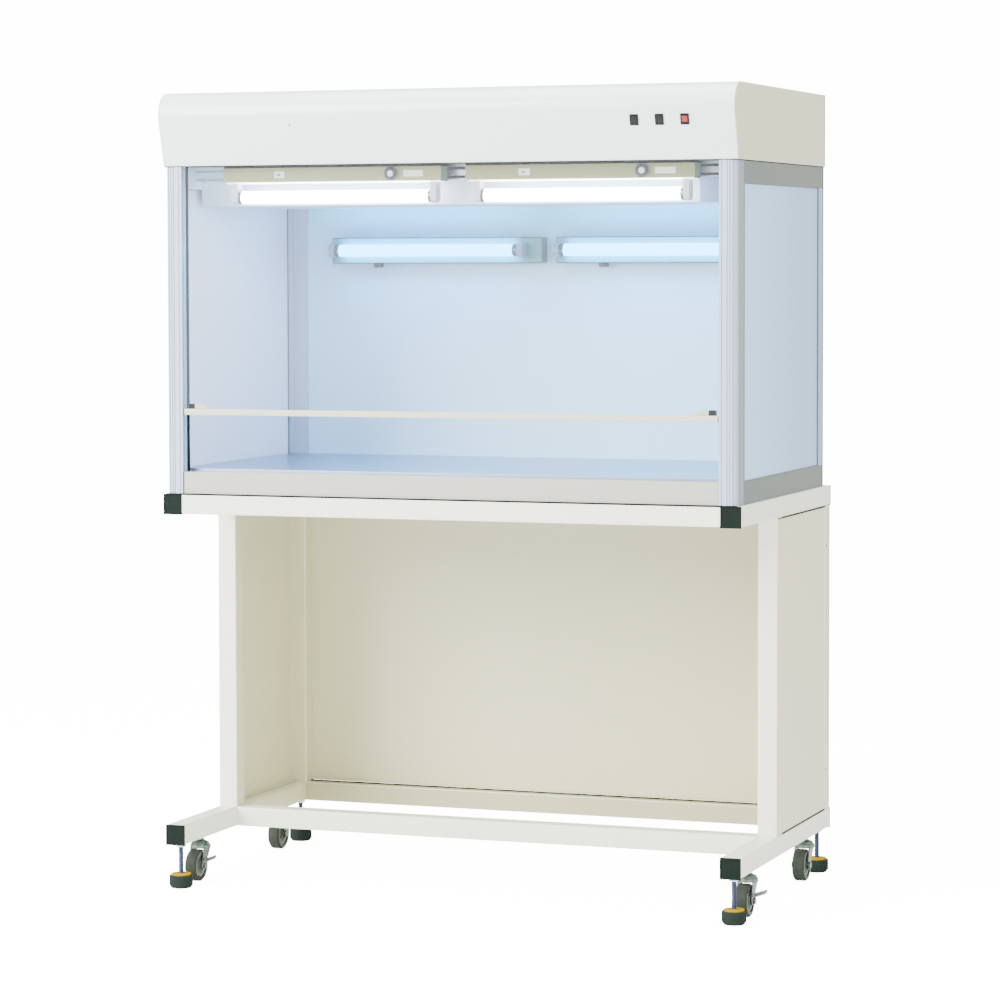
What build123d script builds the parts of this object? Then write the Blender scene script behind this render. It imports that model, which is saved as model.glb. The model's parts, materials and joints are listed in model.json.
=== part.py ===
from build123d import *
import math
import os

# Clean bench on a castored stand, in millimetres. X runs across the bench, Y from front to rear, Z up from the
# floor that the levelling feet stand on. Fore-and-aft sizes are measured from the front ends of the stand's tubes.

# ---- stand
STAND_WIDTH = 1200.0
STAND_DEPTH = 675.0
STAND_HEIGHT = 800.0
FLOOR_GAP = 91.0  # floor to the underside of the foot tubes
TUBE = 40.0
TUBE_WALL = 1.6
TUBE_CORNER = 3.0
CAP_FACE = 3.0
CAP_PLUG = 12.0
CAP_SLACK = 0.3
POST_SETBACK = 262.0  # tube front to the front posts
PANEL_SHEET = 1.2
PANEL_FLANGE = 15.0
PANEL_INSET = 1.0
PANEL_GAP = 3.0

# ---- feet and casters
FOOT_SETBACK = 28.0
STUD_RADIUS = 5.0
STUD_REACH = 24.0  # length of stud inside the tube
RUNNING = 0.1  # radial clearance of turning and sliding fits
FOOT_NUT_FLATS = 17.0
FOOT_NUT_THICK = 8.4
PAD_RADIUS = 24.0
PAD_HEIGHT = 26.0
PAD_TREAD_RADIUS = 20.0
PAD_TAPER = 6.0
DISC_RADIUS = 20.0
DISC_THICK = 3.5
FRONT_CASTER_SETBACK = 122.0
REAR_CASTER_SETBACK = 130.0
WHEEL_RADIUS = 32.5
WHEEL_WIDTH = 25.0
WHEEL_LIFT = 1.0  # the feet carry the bench and hold the wheels just clear
TREAD_ROUND = 3.0
HUB_RADIUS = 22.0
HUB_RECESS = 3.0
AXLE_RADIUS = 4.0
AXLE_NUT_FLATS = 13.0
AXLE_NUT_THICK = 3.2
CASTER_TRAIL = 20.0
FORK_GAP = 1.3  # wheel side to fork leg
FORK_SHEET = 2.5
FORK_BOSS = 9.0
CROWN_RADIUS = 21.0
CROWN_DROP = 24.0  # tube underside to the underside of the fork crown
CROWN_THICK = 6.0
RACE_THICK = 7.0
RACE_GAP = 0.3
RACE_RADIUS = 16.0  # the fork's pressed dome narrows to this
CUP_RADIUS = 14.5
CUP_THICK = 3.5
KINGPIN_RADIUS = 4.0
KINGPIN_HEAD = 7.0
KINGPIN_HEAD_THICK = 2.0
STEM_RADIUS = 6.0
STEM_REACH = 20.0
STEM_COLLAR = 7.5
LEVER_SHEET = 2.0
LEVER_GAP = 0.3
LEVER_REACH = 10.0  # axle to the middle of the pedal
LEVER_ANGLE = 84.0  # of the arm above the level at rest
PEDAL_LENGTH = 30.0
PEDAL_WIDTH = 13.0
PEDAL_TILT = 23.0  # how steeply the pedal rises outwards
PEDAL_CANT = 28.0  # how far its front edge is turned down

# ---- work chamber
CABINET_INSET = 7.0  # cabinet's sides in from the stand's
CABINET_SETIN = 30.0  # cabinet's rear in from the stand's
CHAMBER_HEIGHT = 655.0
POST_WIDTH = 36.0
FRONT_POST_DEPTH = 45.0
FRONT_POST_CORNER = 15.0
REBATE_WIDTH = 18.0
REBATE_DEPTH = 13.0
REAR_POST_DEPTH = 40.0
REAR_POST_WIDTH = 52.0
REAR_POST_CORNER = 5.0
REAR_POST_EDGE = 1.5
POST_WALL = 2.5
FLUTE_WIDTH = 2.2
FLUTE_DEPTH = 1.5
FACE_FLUTES = (5.5, 16.5)  # from the post's inner edge
CORNER_FLUTES = (-88, -64, -22)  # degrees round the corner
SIDE_FLUTE = 27.5  # from the post's front
RAIL_HEIGHT = 44.5
RAIL_WALL = 2.0
FRONT_RAIL_INSET = 3.0
FRONT_RAIL_DEPTH = 37.0
SIDE_RAIL_WIDTH = 20.0
GLASS = 4.0
GLASS_INSET = 3.0
GASKET_LIP = 3.0
GASKET_SILL = 1.0
GASKET_SKIN = 1.5
WALL_SHEET = 1.5
WALL_SETBACK = 33.0  # wall's face in from the cabinet's rear
TOP_SHEET = 1.5
TOP_RISE = 5.5  # work top above the rails
TOP_CLEAR = 2.0
TOP_LAP = 2.0

# ---- sliding sash
SASH_FRONT = 2.0
BAR_DEPTH = 12.0
BAR_HEIGHT = 12.0
BAR_RISE = 159.0  # stand's top to the underside of the bar
BAR_END_GAP = 3.0
SASH_GLASS = 3.0
SASH_SEAT = 6.0  # pane edge inside the bar
SASH_OVERRUN = 129.0  # how far the pane runs up into the head
GUIDE_WIDTH = 5.0
GUIDE_DEPTH = 6.0
GUIDE_PLAY = 2.0  # pane edge to the bottom of the guide groove
SHOE_HEIGHT = 9.0
SHOE_PLAY = 0.3
CATCH_LENGTH = 42.0
CATCH_HEIGHT = 10.0
CATCH_LIP = 2.0
CATCH_DEPTH = 10.0
CATCH_SETBACK = 6.0

# ---- head
HEAD_INSET = 5.0
HEAD_HEIGHT = 146.0
HEAD_SHEET = 1.5
LIP_SETBACK = 1.0
FASCIA_LEAN = 25.0  # how far the flat of the fascia leans out
FASCIA_FLAT_HEIGHT = 90.0  # over this height
BASE_SHEET = 2.0
BASE_FRONT = 14.0
BASE_INSET = 3.0
GRILLE_MARGIN = 245.0  # intake to the head's sides
GRILLE_DEPTH = 300.0
GRILLE_SHEET = 1.0
GRILLE_SLOT = 26.0
GRILLE_BAR = 8.0
GRILLE_LAP = 10.0
GRILLE_SETBACK = 125.0  # intake to the head's rear
MAT_THICK = 10.0
SWITCH_HEIGHT = 76.0  # rocker centres above the fascia lip
SWITCH_PITCH = 50.0
SWITCH_MARGIN = 99.0  # last rocker to the head's right side
BEZEL = (17.0, 21.5)
BEZEL_RIM = 1.8
SWITCH_BODY = (13.4, 18.6)
SWITCH_DEPTH = 20.0
TRUNNION_RADIUS = 1.2
TRUNNION_LENGTH = 0.8
SWITCH_WELL = 4.0  # depth of the pocket behind the fascia's face
ROCKER = (11.0, 16.4)
ROCKER_SLACK = 0.25
ROCKER_END_SLACK = 0.5
ROCKER_TILT = 7.0
GLAND_RADIUS = 11.0
GLAND_NUT = 6.0
GLAND_BARREL = 9.0
GLAND_LOCKRING = 4.0
GLAND_MARGIN = 115.0  # to the head's right side
GLAND_RISE = 45.0

# ---- filter and fan
FILTER_HEIGHT = 78.0
LEFT_INFILL = 153.0
RIGHT_INFILL = 93.0
FILTER_FRAME = 20.0
FILTER_RECESS = 5.0
HOUSING_SHEET = 1.5
HOUSING_HEIGHT = 112.0
HOUSING_MARGIN = 10.0
INLET_RADIUS = 78.0
INLET_LENGTH = 16.0
IMPELLER_RADIUS = 110.0
IMPELLER_HEIGHT = 62.0
IMPELLER_LAP = 4.0
BLADES = 11
BLADE_SHEET = 1.5
BLADE_INNER = 66.0
BLADE_ANGLE = 35.0
MOTOR_RADIUS = 44.0
MOTOR_HEIGHT = 18.0
SHAFT_RADIUS = 6.0
BRIDGE_WIDTH = 60.0
BRIDGE_SHEET = 3.0

# ---- lamps
LAMP_RAIL_FRONT = 105.0
LAMP_RAIL = 30.0
LAMP_GROOVE = 5.5
LAMP_GROOVE_DEPTH = 6.0
LAMP_GROOVE_EDGE = 2.5
FIXTURE_MARGIN = 65.5  # fixture to the front post
FIXTURE_SPACE = 51.0  # between the two fixtures
FIXTURE_FRONT = 60.0
FIXTURE_DEPTH = 39.0
FIXTURE_HEIGHT = 28.0
FIXTURE_DROP = 4.0
FIXTURE_RIB = 1.2
SPACER_RADIUS = 7.0
SPACER_SETBACK = 70.0
HOLDER_THICK = 12.0
HOLDER_DEPTH = 26.0
LAMP_RADIUS = 13.0
LAMP_DROP = 30.0  # fixture underside to the lamp's axis
HOLDER_SETBACK = 16.0
HOLDER_MARGIN = 13.0
HOLDER_TIP = 14.0
STARTER_RADIUS = 10.5
STARTER_LENGTH = 9.0
STARTER_SETBACK = 362.0
KNOB_SETBACK = 118.0
KNOB = (5.0, 3.0)
KNOB_TRAVEL = 4.0
KNOB_PLAY = 0.2
KNOB_DEPTH = 2.5
KNOB_REACH = 2.0
UV_MARGIN = 87.0  # left end to the line of the front post
UV_SPACE = 31.0
UV_OVERHANG = 61.0  # body longer than its lamp
UV_HEIGHT = 54.0
UV_DEPTH = 35.0
UV_DROP = 195.0  # chamber's top to the underside of the bodies
UV_HOLDER_SETBACK = 4.0
UV_LAMP_FORWARD = 20.0
UV_STARTER_SETBACK = 100.0
PIN_RADIUS = 1.2
PIN_LENGTH = 5.0
PIN_SPREAD = 6.35

# ---- places worked out from the sizes above
HALF = STAND_WIDTH / 2
TUBE_X = HALF - TUBE / 2  # centre line of the side frames
FOOT_TOP = FLOOR_GAP + TUBE
BEAM_BOTTOM = STAND_HEIGHT - TUBE
FASCIA_ANGLE = math.degrees(math.atan2(FASCIA_LEAN, FASCIA_FLAT_HEIGHT))
ARC_RADIUS = (HEAD_HEIGHT - FASCIA_FLAT_HEIGHT) / (1 + math.sin(math.radians(FASCIA_ANGLE)))
ARC_Y = LIP_SETBACK - FASCIA_LEAN + ARC_RADIUS * math.cos(math.radians(FASCIA_ANGLE))
BULGE = ARC_RADIUS - ARC_Y  # how far the fascia stands out in front of the tubes
FRONT = (BULGE - STAND_DEPTH) / 2  # puts the origin midway between the fascia and the rear of the stand
REAR_POST_Y = STAND_DEPTH - CAP_FACE - TUBE
CAB_HALF = HALF - CABINET_INSET
CABINET_DEPTH = STAND_DEPTH - CABINET_SETIN
CHAMBER_TOP = STAND_HEIGHT + CHAMBER_HEIGHT
INNER_HALF = CAB_HALF - POST_WIDTH
REAR_HALF = CAB_HALF - REAR_POST_WIDTH
WALL_FRONT = CABINET_DEPTH - WALL_SETBACK
RAIL_TOP = STAND_HEIGHT + RAIL_HEIGHT
SIDE_FRONT = FRONT_POST_DEPTH
SIDE_REAR = CABINET_DEPTH - REAR_POST_DEPTH
HEAD_TOP = CHAMBER_TOP + HEAD_HEIGHT
HEAD_HALF = HALF - HEAD_INSET
SKIN_HALF = HEAD_HALF - HEAD_SHEET
GLASS_OUTER = CAB_HALF - GLASS_INSET
GROOVE_FRONT = SASH_FRONT + BAR_DEPTH / 2 - GUIDE_WIDTH / 2
BAR_BOTTOM = STAND_HEIGHT + BAR_RISE
SASH_TOP = CHAMBER_TOP + SASH_OVERRUN
FIRST_SWITCH = HEAD_HALF - SWITCH_MARGIN - 2 * SWITCH_PITCH
GLAND_X = HEAD_HALF - GLAND_MARGIN
GLAND_Z = CHAMBER_TOP + GLAND_RISE
FILTER_LEFT = SIDE_RAIL_WIDTH - CAB_HALF + LEFT_INFILL
FILTER_RIGHT = CAB_HALF - SIDE_RAIL_WIDTH - RIGHT_INFILL
FILTER_FRONT = LAMP_RAIL_FRONT + LAMP_RAIL
FILTER_BOTTOM = CHAMBER_TOP - FILTER_HEIGHT
BASE_TOP = CHAMBER_TOP + BASE_SHEET
FAN_X = (FILTER_LEFT + FILTER_RIGHT) / 2
FAN_Y = (FILTER_FRONT + WALL_FRONT) / 2
HOUSING_TOP = BASE_TOP + HOUSING_HEIGHT
IMPELLER_TOP = HOUSING_TOP - INLET_LENGTH + IMPELLER_LAP
FIXTURE_LENGTH = INNER_HALF - FIXTURE_MARGIN - FIXTURE_SPACE / 2
FIXTURE_PITCH = FIXTURE_LENGTH + FIXTURE_SPACE
LAMP_LENGTH = FIXTURE_LENGTH - HOLDER_SETBACK - 2 * HOLDER_THICK - HOLDER_MARGIN
UV_LENGTH = LAMP_LENGTH + UV_OVERHANG
UV_LEFT = UV_MARGIN - INNER_HALF
UV_PITCH = UV_LENGTH + UV_SPACE
UV_BOTTOM = CHAMBER_TOP - UV_DROP
WHEEL_Z = WHEEL_RADIUS + WHEEL_LIFT
CROWN_Z = FLOOR_GAP - CROWN_DROP
LEG_INNER = WHEEL_WIDTH / 2 + FORK_GAP
LEG_OUTER = LEG_INNER + FORK_SHEET
PAD_EDGE = TUBE_X + PAD_RADIUS
PEDAL_TIP = TUBE_X + LEG_OUTER + LEVER_GAP + LEVER_SHEET + PEDAL_LENGTH * math.cos(math.radians(PEDAL_TILT))
MIDDLE = (PAD_EDGE - PEDAL_TIP) / 2  # the right pedal stands out past the feet, so the bench sits this far left

SIDES = {"left": -1, "right": 1}
CORNERS = {
    "front_left": (-TUBE_X, FOOT_SETBACK, FRONT_CASTER_SETBACK),
    "front_right": (TUBE_X, FOOT_SETBACK, FRONT_CASTER_SETBACK),
    "rear_left": (-TUBE_X, STAND_DEPTH - FOOT_SETBACK, STAND_DEPTH - REAR_CASTER_SETBACK),
    "rear_right": (TUBE_X, STAND_DEPTH - FOOT_SETBACK, STAND_DEPTH - REAR_CASTER_SETBACK),
}

os.makedirs("parts", exist_ok=True)


def save(name, *shapes):
    """Write one node: each shape's solids, moved to the part's own origin, midway along every side."""
    solids = [s for shape in shapes for s in shape.solids()]
    placed = [Pos(MIDDLE, FRONT, 0) * s for s in solids]
    whole = placed[0] if len(placed) == 1 else Compound(children=placed)
    export_step(whole, f"parts/{name}.step")


def block(x, y, z):
    """A box given by its (low, high) in each direction."""
    size = (x[1] - x[0], y[1] - y[0], z[1] - z[0])
    return Pos(x[0], y[0], z[0]) * Box(*size, align=(Align.MIN,) * 3)


def rod(radius, start, length, along="z"):
    """A cylinder from its start point along an axis."""
    turn = {"x": Rot(0, 90, 0), "y": Rot(-90, 0, 0), "z": Rot(0, 0, 0)}[along]
    return Pos(*start) * turn * Cylinder(radius, length, align=(Align.CENTER, Align.CENTER, Align.MIN))


def dome(wide, narrow, start, height):
    """A shallow cone standing on its wide end."""
    return Pos(*start) * Cone(wide, narrow, height, align=(Align.CENTER, Align.CENTER, Align.MIN))


def hexagon(flats, start, length, along="z"):
    """A hexagonal prism from its start point along an axis."""
    turn = {"x": Rot(0, 90, 0), "y": Rot(-90, 0, 0), "z": Rot(0, 0, 0)}[along]
    outline = RegularPolygon(flats / 2, 6, major_radius=False)
    return Pos(*start) * turn * extrude(outline, length)


def mirrored(shape):
    return mirror(shape, about=Plane.YZ)


def square_tube(start, length, along):
    """A square tube, open at both ends, centred on its start point."""
    turn = {"x": Rot(0, 90, 0), "y": Rot(-90, 0, 0), "z": Rot(0, 0, 0)}[along]
    inside = TUBE - 2 * TUBE_WALL
    section = RectangleRounded(TUBE, TUBE, TUBE_CORNER) - RectangleRounded(inside, inside, TUBE_CORNER - TUBE_WALL)
    return Pos(*start) * turn * extrude(section, length)


def rect_tube(x, y, z, wall, along):
    """A rectangular tube filling a box, open at its ends."""
    span = {"x": (x, y, z), "y": (y, x, z), "z": (z, x, y)}[along]
    inner = [(low + wall, high - wall) for low, high in (x, y, z)]
    inner["xyz".index(along)] = span[0]
    return block(x, y, z) - block(*inner)


# ---- stand ---------------------------------------------------------------------------------------------------


def side_frame(side):
    """One welded side of the stand: top tube, foot tube and two posts, drilled for its caster stems and feet."""
    x = side * TUBE_X
    run = STAND_DEPTH - 2 * CAP_FACE
    frame = square_tube((x, CAP_FACE, FLOOR_GAP + TUBE / 2), run, "y")
    frame += square_tube((x, CAP_FACE, STAND_HEIGHT - TUBE / 2), run, "y")
    for y in (POST_SETBACK + TUBE / 2, REAR_POST_Y + TUBE / 2):
        frame += square_tube((x, y, FOOT_TOP), BEAM_BOTTOM - FOOT_TOP, "z")
    for foot_x, foot_y, caster_y in CORNERS.values():
        if foot_x * side > 0:
            frame -= rod(STUD_RADIUS + RUNNING, (x, foot_y, FLOOR_GAP - 1), TUBE / 2)
            frame -= rod(STEM_RADIUS, (x, caster_y, FLOOR_GAP - 1), TUBE / 2)
    return frame


def end_cap(x, z, front):
    """A plastic cap: a square face and a plug inside the tube."""
    face = RectangleRounded(TUBE, TUBE, TUBE_CORNER)
    plug = TUBE - 2 * TUBE_WALL - 2 * CAP_SLACK
    inner = RectangleRounded(plug, plug, TUBE_CORNER - TUBE_WALL)
    hollow = Rectangle(plug - 4 * TUBE_WALL, plug - 4 * TUBE_WALL)
    cap = extrude(face, CAP_FACE)
    cap += Pos(0, 0, CAP_FACE) * extrude(inner - hollow, CAP_PLUG)
    turn = Rot(-90, 0, 0) if front else Rot(90, 0, 0)
    return Pos(x, 0 if front else STAND_DEPTH, z) * turn * cap


def folded_panel(width, height):
    """A sheet tray lying in XY, its face at z = 0 and its four flanges standing up from it."""
    tray = extrude(Rectangle(width, height), PANEL_FLANGE)
    pocket = extrude(Rectangle(width - 2 * PANEL_SHEET, height - 2 * PANEL_SHEET), PANEL_FLANGE)
    return tray - Pos(0, 0, PANEL_SHEET) * pocket


def stand():
    tube_z = (FLOOR_GAP + TUBE / 2, STAND_HEIGHT - TUBE / 2)
    for name, side in SIDES.items():
        save(f"side_frame_{name}", side_frame(side))
    beam = 2 * (TUBE_X - TUBE / 2)
    left = -beam / 2
    rear_tube = REAR_POST_Y + TUBE / 2
    save(
        "top_beams",
        square_tube((left, TUBE / 2, tube_z[1]), beam, "x"),
        square_tube((left, rear_tube, tube_z[1]), beam, "x"),
    )
    save(
        "crossbars",
        square_tube((left, POST_SETBACK + TUBE / 2, tube_z[0]), beam, "x"),
        square_tube((left, rear_tube, tube_z[0]), beam, "x"),
    )
    caps = [end_cap(s * TUBE_X, z, front) for s in SIDES.values() for z in tube_z for front in (True, False)]
    save("tube_end_caps", *caps)
    low, high = FOOT_TOP + PANEL_GAP, BEAM_BOTTOM - PANEL_GAP
    side_span = REAR_POST_Y - POST_SETBACK - TUBE
    side_panel = Pos(HALF - PANEL_INSET, POST_SETBACK + TUBE + side_span / 2, (low + high) / 2)
    side_panel = side_panel * Rot(0, -90, 0) * folded_panel(high - low, side_span)
    save("side_panels", mirrored(side_panel), side_panel)
    rear_face = REAR_POST_Y + TUBE - PANEL_INSET
    save("rear_panel", Pos(0, rear_face, (low + high) / 2) * Rot(90, 0, 0) * folded_panel(beam, high - low))


# ---- feet and casters ----------------------------------------------------------------------------------------


def levelling_foot(x, y):
    """A threaded stud on a moulded disc, in a rubber cup that stands on the floor."""
    with BuildPart() as cup:
        with BuildSketch(Plane.XZ):
            with BuildLine():
                Polyline(
                    (0, 0),
                    (PAD_TREAD_RADIUS, 0),
                    (PAD_RADIUS, PAD_TAPER),
                    (PAD_RADIUS, PAD_HEIGHT),
                    (0, PAD_HEIGHT),
                    close=True,
                )
            make_face()
        revolve(axis=Axis.Z)
    disc = rod(DISC_RADIUS, (0, 0, PAD_HEIGHT), DISC_THICK)
    stud_bottom = PAD_HEIGHT + DISC_THICK
    stud = rod(STUD_RADIUS, (0, 0, stud_bottom), FLOOR_GAP + STUD_REACH - stud_bottom)
    return [Pos(x, y, 0) * piece for piece in (cup.part, disc, stud)]


def lock_nut(x, y):
    seat = (x, y, FLOOR_GAP - FOOT_NUT_THICK)
    nut = hexagon(FOOT_NUT_FLATS, seat, FOOT_NUT_THICK)
    return nut - rod(STUD_RADIUS + RUNNING, seat, FOOT_NUT_THICK)


def caster_stem(x, y):
    """The fixed half of a swivel: stem in the tube, collar, domed race cup and kingpin."""
    cup_bottom = CROWN_Z + CROWN_THICK + RACE_THICK + RACE_GAP
    cup_top = cup_bottom + CUP_THICK
    stem = rod(STEM_RADIUS, (x, y, FLOOR_GAP), STEM_REACH)
    stem += rod(STEM_COLLAR, (x, y, cup_top), FLOOR_GAP - cup_top)
    stem += dome(CUP_RADIUS, STEM_COLLAR, (x, y, cup_bottom), CUP_THICK)
    head_z = CROWN_Z - RACE_GAP - KINGPIN_HEAD_THICK
    stem += rod(KINGPIN_RADIUS, (x, y, head_z), cup_bottom - head_z)
    stem += rod(KINGPIN_HEAD, (x, y, head_z), KINGPIN_HEAD_THICK)
    return stem


def fork_leg(side):
    """One leg of the pressed fork: the outline that wraps the crown's side and the axle boss."""
    crown = CROWN_Z + CROWN_THICK
    reach = math.sqrt(CROWN_RADIUS**2 - LEG_INNER**2)
    boss = Pos(-CASTER_TRAIL, WHEEL_Z) * Circle(FORK_BOSS)
    waist = Pos(0, crown) * Rectangle(2 * reach, CROWN_THICK, align=(Align.CENTER, Align.MAX))
    outline = make_hull(boss.edges() + waist.edges())
    leg = extrude(Plane.YZ * outline, FORK_SHEET)
    return Pos(LEG_INNER if side > 0 else -LEG_OUTER, 0, 0) * leg


def caster_fork(braked):
    """The turning half: domed crown and two legs, with the axle bolt and its nut through them."""
    fork = rod(CROWN_RADIUS, (0, 0, CROWN_Z), CROWN_THICK)
    fork += dome(CROWN_RADIUS, RACE_RADIUS, (0, 0, CROWN_Z + CROWN_THICK), RACE_THICK)
    fork -= rod(KINGPIN_RADIUS + RUNNING, (0, 0, CROWN_Z), CROWN_THICK + RACE_THICK)
    axle_at = (-CASTER_TRAIL, WHEEL_Z)
    for side in SIDES.values():
        fork += fork_leg(side)
    nut_x = LEG_OUTER + (LEVER_SHEET + 2 * LEVER_GAP if braked else 0)
    axle = rod(AXLE_RADIUS, (-LEG_OUTER, *axle_at), LEG_OUTER + nut_x, "x")
    fork -= axle
    bolt = axle + hexagon(AXLE_NUT_FLATS, (nut_x, *axle_at), AXLE_NUT_THICK, "x")
    bolt += hexagon(AXLE_NUT_FLATS, (-LEG_OUTER - AXLE_NUT_THICK, *axle_at), AXLE_NUT_THICK, "x")
    return [fork, bolt]


def caster_wheel():
    """A rubber-tyred wheel with dished sides, bored for its axle and centred on the origin."""
    half = WHEEL_WIDTH / 2
    dish = half - HUB_RECESS
    bore = AXLE_RADIUS + RUNNING
    boss = 2.5 * AXLE_RADIUS
    with BuildPart() as wheel:
        with BuildSketch(Plane.XZ):
            with BuildLine():
                Polyline(
                    (dish + HUB_RECESS, bore),
                    (half, boss),
                    (dish, boss),
                    (dish, HUB_RADIUS),
                    (half, HUB_RADIUS),
                    (half, WHEEL_RADIUS - TREAD_ROUND),
                    (half - TREAD_ROUND, WHEEL_RADIUS),
                    (TREAD_ROUND - half, WHEEL_RADIUS),
                    (-half, WHEEL_RADIUS - TREAD_ROUND),
                    (-half, HUB_RADIUS),
                    (-dish, HUB_RADIUS),
                    (-dish, boss),
                    (-half, boss),
                    (-half, bore),
                    close=True,
                )
            make_face()
        revolve(axis=Axis.X)
    return wheel.part


def brake_lever():
    """A pressed arm that turns on the axle outside the fork's right leg, with a pedal bent out from its end."""
    rise = math.radians(LEVER_ANGLE)
    end = (-CASTER_TRAIL + LEVER_REACH * math.cos(rise), WHEEL_Z + LEVER_REACH * math.sin(rise))
    eye = Pos(-CASTER_TRAIL, WHEEL_Z) * Circle(2 * AXLE_RADIUS)
    tip = Pos(*end) * Rot(0, 0, PEDAL_CANT) * Rectangle(PEDAL_WIDTH, LEVER_SHEET)
    arm = extrude(Plane.YZ * make_hull(eye.edges() + tip.edges()), LEVER_SHEET)
    arm -= rod(AXLE_RADIUS + RUNNING, (0, -CASTER_TRAIL, WHEEL_Z), LEVER_SHEET, "x")
    plate = Box(PEDAL_LENGTH, PEDAL_WIDTH, LEVER_SHEET, align=(Align.MIN, Align.CENTER, Align.CENTER))
    plate = fillet(plate.edges().filter_by(Axis.Z).group_by(Axis.X)[-1], PEDAL_WIDTH / 3)
    lift = LEVER_SHEET * math.tan(math.radians(PEDAL_TILT)) / 2
    root = Pos(LEVER_SHEET / 2, 0, 0) * Box(LEVER_SHEET, PEDAL_WIDTH, LEVER_SHEET + lift)
    pedal = Pos(LEVER_SHEET, 0, 0) * Rot(0, -PEDAL_TILT, 0) * plate
    return Pos(LEG_OUTER + LEVER_GAP, 0, 0) * (arm + Pos(0, *end) * Rot(PEDAL_CANT, 0, 0) * (root + pedal))


def feet_and_casters():
    nuts, stems = [], []
    for name, (x, foot_y, caster_y) in CORNERS.items():
        save(f"foot_{name}", *levelling_foot(x, foot_y))
        nuts.append(lock_nut(x, foot_y))
        stems.append(caster_stem(x, caster_y))
        place = Pos(x, caster_y, 0)
        braked = name.startswith("front")
        fork, bolt = caster_fork(braked)
        if braked:
            save(f"brake_lever_{name}", place * brake_lever())
        save(f"caster_fork_{name}", place * fork, place * bolt)
        save(f"caster_wheel_{name}", place * Pos(0, -CASTER_TRAIL, WHEEL_Z) * caster_wheel())
    save("foot_lock_nuts", *nuts)
    save("caster_stems", *stems)


# ---- work chamber --------------------------------------------------------------------------------------------


def front_post():
    """The right front extrusion: a round outer corner with shallow flutes, and the sash's guide groove."""
    outline = Polyline(
        (INNER_HALF, 0),
        (CAB_HALF, 0),
        (CAB_HALF, FRONT_POST_DEPTH),
        (INNER_HALF + REBATE_WIDTH, FRONT_POST_DEPTH),
        (INNER_HALF + REBATE_WIDTH, FRONT_POST_DEPTH - REBATE_DEPTH),
        (INNER_HALF, FRONT_POST_DEPTH - REBATE_DEPTH),
        close=True,
    )
    section = make_face(outline)
    corner = section.vertices().sort_by(lambda v: v.Y - v.X)[0]
    section = fillet(corner, FRONT_POST_CORNER)
    groove = Rectangle(GUIDE_DEPTH, GUIDE_WIDTH, align=Align.MIN)
    section -= Pos(INNER_HALF, GROOVE_FRONT) * groove
    centre = (CAB_HALF - FRONT_POST_CORNER, FRONT_POST_CORNER)
    flutes = [(INNER_HALF + x, 0, -90) for x in FACE_FLUTES] + [(CAB_HALF, SIDE_FLUTE, 0)]
    for angle in CORNER_FLUTES:
        turn = math.radians(angle)
        x, y = centre[0] + FRONT_POST_CORNER * math.cos(turn), centre[1] + FRONT_POST_CORNER * math.sin(turn)
        flutes.append((x, y, angle))
    for x, y, angle in flutes:
        section -= Pos(x, y) * Rot(0, 0, angle) * Rectangle(2 * FLUTE_DEPTH, FLUTE_WIDTH)
    cavity_x = (INNER_HALF + GUIDE_DEPTH + POST_WALL, CAB_HALF - POST_WALL)
    cavity_y = (FRONT_POST_CORNER, FRONT_POST_DEPTH - REBATE_DEPTH - POST_WALL)
    cavity = Rectangle(cavity_x[1] - cavity_x[0], cavity_y[1] - cavity_y[0], align=Align.MIN)
    section -= Pos(cavity_x[0], cavity_y[0]) * cavity
    return Pos(0, 0, STAND_HEIGHT) * extrude(section, CHAMBER_TOP - STAND_HEIGHT)


def rear_post():
    """The right rear extrusion: a rib that the pane closes on, and beside it a land flush with the wall's face."""
    land, rib = WALL_FRONT - SIDE_REAR, CAB_HALF - REBATE_WIDTH
    outline = Polyline(
        (REAR_HALF, WALL_FRONT),
        (rib, WALL_FRONT),
        (rib, SIDE_REAR),
        (CAB_HALF, SIDE_REAR),
        (CAB_HALF, CABINET_DEPTH),
        (REAR_HALF, CABINET_DEPTH),
        close=True,
    )
    section = make_face(outline)
    section = fillet(section.vertices().sort_by(lambda v: -v.Y - v.X)[0], REAR_POST_CORNER)
    section = fillet(section.vertices().sort_by(lambda v: v.Y + v.X)[0], REAR_POST_EDGE)
    cavity = (REAR_POST_WIDTH - 2 * POST_WALL, REAR_POST_DEPTH - land - 2 * POST_WALL)
    inner = Rectangle(*cavity, align=Align.MIN)
    section -= Pos(REAR_HALF + POST_WALL, WALL_FRONT + POST_WALL) * inner
    return Pos(0, 0, STAND_HEIGHT) * extrude(section, CHAMBER_TOP - STAND_HEIGHT)


def side_window():
    """The right pane and the rubber gasket round it."""
    y = (SIDE_FRONT, SIDE_REAR)
    z = (RAIL_TOP, CHAMBER_TOP - RAIL_HEIGHT)
    x = (GLASS_OUTER - GLASS, GLASS_OUTER)
    edge = (GASKET_LIP / 3, GASKET_SILL / 2)
    pane = block(x, (y[0] + edge[0], y[1] - edge[0]), (z[0] + edge[1], z[1] - edge[1]))
    ring = block((x[0] - GASKET_SKIN, x[1] + GASKET_SKIN), y, z)
    sight = ((y[0] + GASKET_LIP, y[1] - GASKET_LIP), (z[0] + GASKET_SILL, z[1] - GASKET_SILL))
    ring -= block((x[0] - GASKET_SKIN, x[1] + GASKET_SKIN), *sight)
    return pane, ring - pane


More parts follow.
